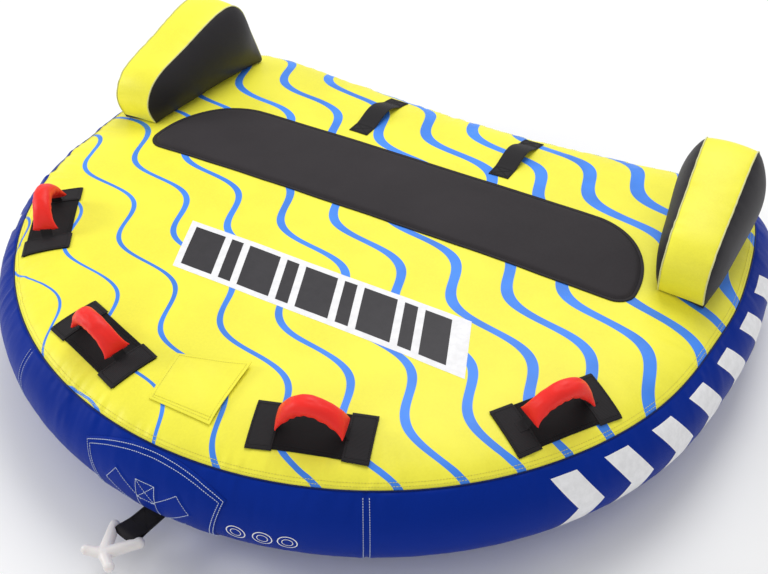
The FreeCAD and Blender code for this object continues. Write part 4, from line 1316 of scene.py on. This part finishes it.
def wall_place(x, z):
    """(angle, t) of points on the front wall, from their distance to the middle and their height."""
    t = wall_t(z)
    scale = np.interp(t, ALONG, PROFILE[:, 0]) / NOSE_REACH
    angle = np.linspace(NOSE - 0.7, NOSE + 0.7, 800)
    return np.interp(np.asarray(x) / scale, outline_radius(angle) * np.cos(angle), angle), t


def nose_arch_top(x):
    sag = NOSE_PATCH_TOP - NOSE_PATCH_SHOULDER
    radius = (NOSE_PATCH_HALF**2 + sag**2) / (2 * sag)
    return NOSE_PATCH_TOP - radius + np.sqrt(radius**2 - np.asarray(x) ** 2)


def nose_patch_half(z):
    share = np.clip((NOSE_PATCH_SHOULDER - z) / (NOSE_PATCH_SHOULDER - NOSE_PATCH_LOW), 0, 1)
    return NOSE_PATCH_HALF - NOSE_PATCH_NARROWS * share ** 0.8


def leg_relief(x, z):
    """How far the harness legs under the patch lift it."""
    lift = np.zeros_like(x)
    for tilt, length, _ in HARNESS_LEGS:
        c, s = math.cos(math.radians(tilt)), math.sin(math.radians(tilt))
        dx, dz = x - STRAP_FOOT[0], z - STRAP_FOOT[1]
        across, along = dx * c - dz * s, dx * s + dz * c
        inside = 1.0
        for within in (0.0265 - np.abs(across), length + 0.0015 - along, along + 0.03):
            inside = inside * np.clip(within / 0.003, 0, 1)
        lift = np.maximum(lift, inside)
    return 0.0016 * lift


def nose_surface(x, z, out):
    angle, t = wall_place(x, z)
    puckers = gathers(angle, t) * 0.8
    return hull_point(angle, t, out + puckers), hull_normal(angle, t)


def nose_patch():
    u = np.concatenate([[-1, -0.99, -0.975], np.linspace(-0.95, 0.95, 110), [0.975, 0.99, 1]])
    v = np.concatenate([[0, 0.008, 0.02], np.linspace(0.04, 0.96, 56), [0.98, 0.992, 1]])
    u, v = np.meshgrid(u, v)
    z = NOSE_PATCH_LOW + v * (nose_arch_top(u * NOSE_PATCH_HALF) - NOSE_PATCH_LOW)
    x = u * nose_patch_half(z)
    near = np.minimum(nose_patch_half(z) - np.abs(x), np.minimum(z - NOSE_PATCH_LOW, nose_arch_top(x) - z))
    border = np.clip(near / 0.004, 0, 1)
    soft = 0.0004 * noise_field(61, x, z, 0.018, 0.030)
    high = 0.0011 + 0.0014 * border * (2 - border) + leg_relief(x, z) * border + soft * border
    top, _ = nose_surface(x, z, high)
    bottom, _ = nose_surface(x, z, 0.0002)
    made = slab_object("nose_patch_cloth", top, bottom, x, z, finish_of["nose_fabric"])
    outward(made)
    fit(made, "deck", ["nose_patch", "tow_harness"])

    def row(corners, out=0.0030, closed=False):
        corners = list(corners) + ([corners[0]] if closed else [])
        pieces = [np.array(a) * (1 - s) + np.array(b) * s for a, b in zip(corners[:-1], corners[1:])
                  for s in np.linspace(0, 1, 24)[:-1, None]]
        line = np.array(pieces + [np.array(corners[-1], float)])
        line = line.reshape(-1, 2)
        inside = (line[:, 1] > NOSE_PATCH_LOW + 0.002) & (np.abs(line[:, 0]) < nose_patch_half(line[:, 1]))
        line = line[inside]
        x, z = line[:, 0], line[:, 1]
        return nose_surface(x, z, out + leg_relief(x, z) * 0.95 - 0.0004)

    rows = []
    for inset in (0.005, 0.0125):
        x = np.linspace(-NOSE_PATCH_HALF + inset, NOSE_PATCH_HALF - inset, 160)
        arch = np.stack([x, nose_arch_top(x) - inset], 1)
        low = NOSE_PATCH_LOW + 0.003
        half = NOSE_PATCH_HALF - NOSE_PATCH_NARROWS - inset
        outline = np.vstack([[[-half, low]], arch, [[half, low]]])
        rows.append(row([tuple(p) for p in outline]))
    foot = np.array(STRAP_FOOT)
    for tilt, length, reach in HARNESS_LEGS:
        c, s = math.cos(math.radians(tilt)), math.sin(math.radians(tilt))
        local = lambda a, b: tuple(foot + np.array([a * c + b * s, -a * s + b * c]))
        rows.append(row([local(-0.021, reach), local(-0.021, length - 0.004), local(0.021, length - 0.004),
                         local(0.021, reach)]))
        if tilt == 0:
            box = [local(-0.021, 0.038), local(0.021, 0.038), local(0.021, 0.080), local(-0.021, 0.080)]
            rows += [row(box, closed=True), row([box[0], box[2]]), row([box[1], box[3]])]
    turn = np.linspace(-1.15, 1.15, 40)
    rows.append(row([(foot[0] + 0.085 * math.sin(k), 0.128 - 0.047 * math.cos(k)) for k in turn]))
    stitched("nose_stitches", "deck", "white_thread", rows, "nose_fabric",
             pitch=0.0050, length=0.0041, thick=0.0006)


nose_patch()


# ---- tow strap and hook ----
TOW_EXIT = Vector((-0.022, -0.608, 0.062))
TOW_SKEW = -9.0
TOW_LENGTH = 0.080
TOW_EYE_RADIUS = 0.0076


def from_exit(points):
    """Turns points built along -Y from the strap's exit into place."""
    c, s = math.cos(math.radians(TOW_SKEW)), math.sin(math.radians(TOW_SKEW))
    x, y, z = points[..., 0], points[..., 1], points[..., 2]
    return np.stack([TOW_EXIT.x + x * c - y * s, TOW_EXIT.y + x * s + y * c, TOW_EXIT.z + z], -1)


def tow_strap():
    bar = -TOW_LENGTH
    round_bar = [(bar - TOW_EYE_RADIUS * math.cos(k), TOW_EYE_RADIUS * math.sin(k))
                 for k in np.radians(np.linspace(62, -62, 13))]
    over = [(0.005, 0.0014), (-0.006, 0.0014), (-0.020, 0.0016), (-0.036, 0.0019), (-0.052, 0.0032),
            (-0.066, 0.0058), (-0.076, 0.0076)]
    under = [(y, -z) for y, z in reversed(over)]
    path = smooth_curve(over + round_bar + under, 260)
    sag = -0.0018 * np.sin(np.clip(-path[:, 0] / TOW_LENGTH, 0, 1) * math.pi)
    path[:, 1] += sag
    run = run_along(path)
    ahead = np.gradient(path, axis=0)
    ahead /= np.linalg.norm(ahead, axis=1, keepdims=True)
    outside = np.stack([ahead[:, 1], -ahead[:, 0]], 1)
    if outside[0, 1] < 0:
        outside = -outside
    across = edged(16, 0.0008, 0.050)
    u, v = np.meshgrid(across, run)
    curl = 0.0006 * np.cos((u - 0.025) / 0.025 * math.pi)
    blocks = []
    for lift in (0.0011, -0.0011):
        edge = edge_drop(u, np.full_like(u, 1.0), 0.050, 2.0, 0.0012, 0.0005) * np.sign(lift)
        line = path[:, None, :] + outside[:, None, :] * (lift - edge + curl)[..., None]
        blocks.append(from_exit(np.stack([u - 0.025, line[..., 0], line[..., 1]], -1)))
    made = slab_object("tow_strap_webbing", blocks[0], blocks[1], u, v, finish_of["black_webbing"])
    outward(made)
    fit(made, "tow_strap", ["tow_strap"])

    def row(corners):
        line = np.vstack([np.array(a) * (1 - s) + np.array(b) * s for a, b in zip(corners[:-1], corners[1:])
                          for s in np.linspace(0, 1, 20)[:-1, None]] + [np.array([corners[-1]], float)])
        height = np.interp(-line[:, 1], -path[:100, 0], path[:100, 1] + 0.0012)
        points = from_exit(np.stack([line[:, 0], line[:, 1], height], -1))
        return points, np.broadcast_to([0.0, 0.0, 1.0], points.shape)

    box = [(-0.021, -0.016), (0.021, -0.016), (0.021, -0.050), (-0.021, -0.050)]
    rows = [row(box + box[:1]), row([box[0], box[2]]), row([box[1], box[3]])]
    stitched("tow_strap_stitches", "tow_strap", "black_thread", rows, thick=0.0006)


tow_strap()


def capsule(builder, start, end, start_radius, end_radius):
    """A rod with round ends, thicker at one end than at the other."""
    ring = []
    for centre, radius in ((start, start_radius), (end, end_radius)):
        ball = bmesh.ops.create_uvsphere(builder, u_segments=32, v_segments=20, radius=radius,
                                         matrix=Matrix.Translation(Vector(centre)))
        ring += ball["verts"]
    hull = bmesh.ops.convex_hull(builder, input=ring)
    bmesh.ops.delete(builder, geom=list({*hull["geom_interior"], *hull["geom_unused"]}), context="VERTS")


def solid_from(name, rods):
    builder = bmesh.new()
    for start, end, start_radius, end_radius in rods:
        part = bmesh.new()
        capsule(part, start, end, start_radius, end_radius)
        mesh = bpy.data.meshes.new("rod")
        part.to_mesh(mesh)
        part.free()
        builder.from_mesh(mesh)
        bpy.data.meshes.remove(mesh)
    mesh = bpy.data.meshes.new(name)
    builder.to_mesh(mesh)
    builder.free()
    return link(bpy.data.objects.new(name, mesh))


def settled(obj, *steps):
    """Applies modifiers given as (kind, settings) one after the other."""
    for kind, settings in steps:
        step = obj.modifiers.new(kind.lower(), kind)
        for key, value in settings.items():
            setattr(step, key, value)
    shape = bpy.data.meshes.new_from_object(obj.evaluated_get(bpy.context.evaluated_depsgraph_get()))
    obj.modifiers.clear()
    obj.data = shape
    return obj


HOOK_CROSSING = 0.057
HOOK_CORNER = (0.0335, 0.001)
HOOK_TIP = (0.031, 0.071)
HOOK_ARM_RADII = (0.0110, 0.0122)
HOOK_HORN_RADII = (0.0112, 0.0098)
HOOK_TIP_RADIUS = 0.0106
HOOK_BAR = (0.030, 0.0058)
HOOK_STRAP_ROOM = (0.0514, 0.0108)
HOOK_VOXEL = 0.0011


def hook_moulding():
    """Two arms moulded across each other, a bar for the strap and two short horns with round ends."""
    middle = -TOW_LENGTH
    crossing = (0.0, middle - HOOK_CROSSING, 0.0)
    rods = []
    for side in (-1, 1):
        corner = (side * HOOK_CORNER[0], middle + HOOK_CORNER[1], 0.0)
        tip = (side * HOOK_TIP[0], middle - HOOK_TIP[1], 0.0)
        past_tip = (tip[0], tip[1] - 0.0001, 0.0)
        rods += [(corner, crossing, *HOOK_ARM_RADII), (crossing, tip, *HOOK_HORN_RADII),
                 (tip, past_tip, HOOK_TIP_RADIUS, HOOK_TIP_RADIUS)]
    remesh = ("REMESH", {"mode": "VOXEL", "voxel_size": HOOK_VOXEL})
    arms = settled(solid_from("tow_hook_moulding", rods), remesh)
    room = link(bpy.data.objects.new("hook_room", bpy.data.meshes.new("hook_room")))
    builder = bmesh.new()
    turn = Matrix.Translation((0, middle, 0)) @ Matrix.Rotation(math.pi / 2, 4, "Y")
    depth, radius = HOOK_STRAP_ROOM
    bmesh.ops.create_cone(builder, cap_ends=True, segments=64, radius1=radius, radius2=radius, depth=depth,
                          matrix=turn)
    builder.to_mesh(room.data)
    builder.free()
    settled(arms, ("BOOLEAN", {"operation": "DIFFERENCE", "object": room, "solver": "EXACT"}))
    bpy.data.objects.remove(room)
    half, radius = HOOK_BAR
    bar = solid_from("hook_bar", [((-half, middle, 0), (half, middle, 0), radius, radius)])
    builder = bmesh.new()
    builder.from_mesh(arms.data)
    builder.from_mesh(bar.data)
    builder.to_mesh(arms.data)
    builder.free()
    bpy.data.objects.remove(bar)
    settled(arms, remesh, ("SMOOTH", {"factor": 0.5, "iterations": 7}))
    flat = np.empty(len(arms.data.vertices) * 3)
    arms.data.vertices.foreach_get("co", flat)
    arms.data.vertices.foreach_set("co", from_exit(flat.reshape(-1, 3)).ravel())
    arms.data.polygons.foreach_set("use_smooth", [True] * len(arms.data.polygons))
    arms.data.update()
    return arms


def dress(obj, material):
    obj.data.materials.clear()
    obj.data.materials.append(finish_of[material])
    return obj


hook = dress(hook_moulding(), "hook_plastic")
fit(hook, "tow_hook", ["tow_hook"])


# ---- valve, its flap and the zip ----
FLAP = np.array([[(-0.070, -0.534), (0.068, -0.534)], [(-0.088, -0.421), (0.055, -0.376)]])


def flap_plan(u, v):
    a, b = FLAP[0, 0], FLAP[0, 1]
    c, d = FLAP[1, 0], FLAP[1, 1]
    u, v = u[..., None], v[..., None]
    return (a * (1 - u) + b * u) * (1 - v) + (c * (1 - u) + d * u) * v


def flap_height(u, v):
    """Sewn down along its front edge, the flap stands a little off at its right side and rear."""
    right = np.clip((u - 0.62) / 0.38, 0, 1) ** 2 * (0.25 + 0.75 * v)
    rear = np.clip((v - 0.75) / 0.25, 0, 1) ** 2
    front = np.clip((0.16 - v) / 0.16, 0, 1) ** 1.5
    return 0.0040 + 0.0042 * right + 0.0006 * rear - 0.0024 * front


def valve_flap():
    edge = np.array([0, 0.005, 0.015])
    line = np.concatenate([edge, np.linspace(0.03, 0.97, 46), 1 - edge[::-1]])
    u, v = np.meshgrid(line, line)
    plan = flap_plan(u, v)
    x, y = plan[..., 0], plan[..., 1]
    angle, t = deck_place(x, y)
    soft = 0.0004 * noise_field(71, x, y, 0.030, 0.022)
    hem = 0.0004 * (np.minimum(np.minimum(u, 1 - u), np.minimum(v, 1 - v)) < 0.06)
    base = flap_height(u, v) + soft + swell(x, y)
    top = hull_point(angle, t, base + 0.0011 + hem)
    bottom = hull_point(angle, t, base - 0.0002)
    made = slab_object("valve_flap_cloth", top, bottom, u * 0.14, v * 0.15, finish_of["flap_fabric"])
    outward(made)
    fit(made, "valve_flap", ["valve_flap"])

    def row(points, out=0.0017):
        points = np.array(points, float)
        last = len(points) - 1
        share = np.concatenate([np.linspace(k, k + 1, 30)[:-1] for k in range(last)] + [[last]])
        u_line = np.interp(share, range(len(points)), points[:, 0])
        v_line = np.interp(share, range(len(points)), points[:, 1])
        at = flap_plan(u_line, v_line)
        place_angle, place_t = deck_place(at[:, 0], at[:, 1])
        height = flap_height(u_line, v_line) + out + swell(at[:, 0], at[:, 1]) - 0.0002
        return hull_point(place_angle, place_t, height), hull_normal(place_angle, place_t)

    rows = [row([(0.03, 0.045), (0.97, 0.045)]), row([(0.03, 0.085), (0.97, 0.085)]),
            row([(0.045, 0.04), (0.045, 0.96), (0.955, 0.96), (0.955, 0.04)])]
    stitched("valve_flap_stitches", "valve_flap", "yellow_thread", rows, thick=0.0004)


valve_flap()


def tape_strip(name, corners, low, high, body, nodes):
    """A strip of hook-and-loop tape, its face a nap of tiny bumps."""
    corners = np.array(corners)
    line_u, line_v = edged(14, 0.0006, 1.0), edged(60, 0.003, 1.0)
    u, v = np.meshgrid(np.clip(line_u, 0, 1), np.clip(line_v, 0, 1))
    blend = lambda k: ((corners[0, k] * (1 - u) + corners[1, k] * u) * (1 - v)
                       + (corners[3, k] * (1 - u) + corners[2, k] * u) * v)
    x, y = blend(0), blend(1)
    angle, t = deck_place(x, y)
    nap = 0.00025 * noise_field(81, x, y, 0.0016, 0.0016)
    made = slab_object(name, hull_point(angle, t, high + nap), hull_point(angle, t, low),
                       u * 0.02, v * 0.08, finish_of["hook_tape"])
    outward(made)
    fit(made, body, nodes)


TAPES = ([(-0.068, -0.527), (-0.060, -0.527), (-0.060, -0.449), (-0.078, -0.443)],
         [(0.044, -0.527), (0.062, -0.527), (0.054, -0.403), (0.040, -0.409)])
for index, strip in enumerate(TAPES):
    tape_strip(f"hook_tape_strip_{index}", strip, 0.0006, 0.0016, "deck", ["flap_hook_tape"])
    tape_strip(f"loop_tape_strip_{index}", strip, 0.0021, 0.0030, "valve_flap", ["flap_loop_tape"])


def zip_tape():
    """The two woven tapes of the zip, sewn inside the floor panel on both sides of its teeth."""
    half_x, y, _ = ZIP_SLOT
    for side, label in ((-1, "front"), (1, "rear")):
        u = np.linspace(-half_x - 0.015, half_x + 0.015, 240)
        v = np.linspace(0.0030, 0.0180, 10)
        u, v = np.meshgrid(u, v)
        lift = 0.0002 * noise_field(91, u, v, 0.02, 0.02)
        top = np.stack([u, y + side * v, 0.0031 + lift], -1)
        bottom = np.stack([u, y + side * v, 0.0024 + lift], -1)
        made = slab_object(f"zip_tape_{label}", top, bottom, u, v, finish_of["black_webbing"])
        outward(made)
        fit(made, "deck", ["zip_tape"])


zip_tape()

# pieces shown as the CAD has them, with a material of their own
KEPT = {
    "main_bladder": "bladder_vinyl", "valve_base": "valve_plastic", "valve_insert": "valve_plastic",
    "valve_cap": "valve_plastic", "zip_teeth": "zip_teeth", "zip_slider": "zip_metal",
    "zip_pull": "zip_metal",
}
for node, material in KEPT.items():
    part = frame["nodes"][node]
    for index in range(len(part.material_slots)):
        part.material_slots[index].material = finish_of[material]


# ---- printed graphics: plain bars and chevrons ----
def printed_quad(name_parts, corners, place, out, steps=(14, 14)):
    """Adds one printed shape; place turns its own coordinates into points on the cover."""
    corners = np.array(corners, float)
    u, v = np.meshgrid(np.linspace(0, 1, steps[0]), np.linspace(0, 1, steps[1]))
    blend = lambda k: ((corners[0, k] * (1 - u) + corners[1, k] * u) * (1 - v)
                       + (corners[3, k] * (1 - u) + corners[2, k] * u) * v)
    a, b = blend(0), blend(1)
    name_parts.append((place(a, b, out), grid_faces(*u.shape), np.stack([a, b], -1)))


def printed_object(name, parts, material, flip=False):
    points, faces, cloth, start = [], [], [], 0
    for p, f, uv in parts:
        points.append(p.reshape(-1, 3))
        faces.append((f[:, ::-1] if flip else f) + start)
        cloth.append(uv.reshape(-1, 2)[f[:, ::-1] if flip else f])
        start += len(points[-1])
    made = mesh_object(name, np.concatenate(points), np.concatenate(faces), [finish_of[material]],
                       np.concatenate(cloth))
    return fit(made, "deck")


def on_deck(x, y, out):
    angle, t = deck_place(x, y)
    return hull_point(angle, t, out + cover_out(angle, t))


DECK_PRINT = {"left": -0.322, "right": 0.424, "front": -0.206, "rear": -0.054, "slant": 0.060}
DECK_BARS = [0.078, 0.030, 0.078, 0.030, 0.078, 0.030, 0.078, 0.030, 0.060]
DECK_BAR_GAP = 0.017


def deck_graphic():
    left, right, front, rear = (DECK_PRINT[k] for k in ("left", "right", "front", "rear"))
    slant = DECK_PRINT["slant"]
    backing, bars = [], []
    printed_quad(backing, [(left + slant, front), (right, front), (right - slant, rear), (left, rear)],
                 on_deck, 0.00030, (110, 26))
    x = left + slant + 0.016
    low, high = front + 0.015, rear - 0.015
    shift = lambda y: slant * (y - front) / (rear - front)
    for width in DECK_BARS:
        corners = [(x - shift(low), low), (x + width - shift(low), low),
                   (x + width - shift(high), high), (x - shift(high), high)]
        printed_quad(bars, corners, on_deck, 0.00055, (14, 22))
        x += width + DECK_BAR_GAP
    printed_object("deck_print_backing", backing, "white_print")
    printed_object("deck_print_bars", bars, "black_print")


deck_graphic()

WALL_PRINT_START = math.radians(-33.0)
WALL_PRINT_START_LEFT = WALL_PRINT_START + 0.14
WALL_CHEVRONS = 7
WALL_CHEVRON_STEP = 0.122
WALL_CHEVRON_ARM = 0.058
WALL_CHEVRON_REACH = 0.050
WALL_PRINT_HEIGHTS = (0.078, 0.150, 0.224)


def wall_graphic(side):
    parts = []

    def place(arc, z, out):
        start = WALL_PRINT_START if side > 0 else WALL_PRINT_START_LEFT
        angle = start + arc / NOSE_RADIUS
        angle = angle if side > 0 else math.pi - angle
        t = wall_t(z)
        return hull_point(angle, t, out + wall_out(angle, t))

    low, middle, high = WALL_PRINT_HEIGHTS
    arm, reach = WALL_CHEVRON_ARM, WALL_CHEVRON_REACH
    for index in range(WALL_CHEVRONS):
        x = index * WALL_CHEVRON_STEP
        lower = [(x, low), (x + arm, low), (x + arm + reach, middle), (x + reach, middle)]
        upper = [(x + reach, middle), (x + arm + reach, middle), (x + arm, high), (x, high)]
        for corners in (lower, upper):
            printed_quad(parts, corners, place, 0.00040, (22, 22))
    printed_object("wall_print_right" if side > 0 else "wall_print_left", parts, "white_print", side < 0)


wall_graphic(1)
wall_graphic(-1)


def wall_rings():
    """Three plain printed rings beside the nose patch."""
    parts = []
    turn = np.linspace(0, TAU, 49)
    for arc in (0.170, 0.218, 0.262):
        for radius, width in ((0.0170, 0.0020), (0.0095, 0.0014)):
            u, v = np.meshgrid(turn, [radius - width / 2, radius + width / 2])
            angle, t = NOSE + (arc + v * np.cos(u)) / NOSE_REACH, wall_t(0.136 + v * np.sin(u))
            parts.append((hull_point(angle, t, 0.0004 + wall_out(angle, t)), grid_faces(*u.shape),
                          np.stack([u * radius, v], -1)))
    printed_object("wall_rings", parts, "white_print")


wall_rings()

# ---- floor, light and camera ----
CAMERA_TURN = 28.996
CAMERA_RISE = 39.232
CAMERA_ROLL = 0.6456
CAMERA_LENS = 56.44
CAMERA_PLACE = (1.0915, -1.7296, 1.8607)
STUDIO_REACH = 30


def camera():
    turn, rise, roll = (math.radians(v) for v in (CAMERA_TURN, CAMERA_RISE, CAMERA_ROLL))
    back = Vector((math.sin(turn) * math.cos(rise), -math.cos(turn) * math.cos(rise), math.sin(rise)))
    right = (-back).cross(Vector((0, 0, 1))).normalized()
    up = back.cross(right)
    rolled_right = right * math.cos(roll) + up * math.sin(roll)
    rolled_up = up * math.cos(roll) - right * math.sin(roll)
    made = bpy.data.cameras.new("camera")
    made.lens = CAMERA_LENS
    made.sensor_width = 36.0
    made.clip_end = 60.0
    obj = link(bpy.data.objects.new("camera", made))
    turn_to = Matrix((rolled_right, rolled_up, back)).transposed()
    obj.matrix_world = Matrix.Translation(CAMERA_PLACE) @ turn_to.to_4x4()
    bpy.context.scene.camera = obj


def area_light(name, place, target, size, power, colour=(1, 1, 1)):
    made = bpy.data.lights.new(name, "AREA")
    made.shape = "RECTANGLE"
    made.size, made.size_y = size
    made.energy = power
    made.color = colour
    obj = link(bpy.data.objects.new(name, made))
    obj.location = place
    obj.rotation_euler = (Vector(target) - Vector(place)).to_track_quat("-Z", "Y").to_euler()


def studio():
    corners = [(a * STUDIO_REACH, b * STUDIO_REACH, 0) for a, b in ((-1, -1), (1, -1), (1, 1), (-1, 1))]
    ground = mesh_object("studio_floor", corners, [(0, 1, 2, 3)])
    pale = Shade("studio_floor", 0.9)
    base = linear(250, 250, 250)
    pale.colour(pale.mix(pale.noise(0.6, 2.0), scaled(base, 0.985), base))
    ground.data.materials.append(pale.material)
    world = bpy.data.worlds.new("studio")
    world.use_nodes = True
    world.node_tree.nodes["Background"].inputs["Color"].default_value = (1, 1, 1, 1)
    world.node_tree.nodes["Background"].inputs["Strength"].default_value = 0.60
    bpy.context.scene.world = world
    area_light("overhead", (-0.3, 2.0, 4.0), (0, 0.1, 0.2), (2.6, 2.6), 96)
    area_light("front_left", (-3.4, -1.6, 1.7), (0, -0.2, 0.15), (0.9, 0.9), 38)
    area_light("front", (0.6, -4.2, 2.2), (0, -0.2, 0.15), (2.4, 1.4), 12)
    bpy.context.scene.view_settings.view_transform = "Standard"
    bpy.context.scene.view_settings.look = "None"


camera()
studio()
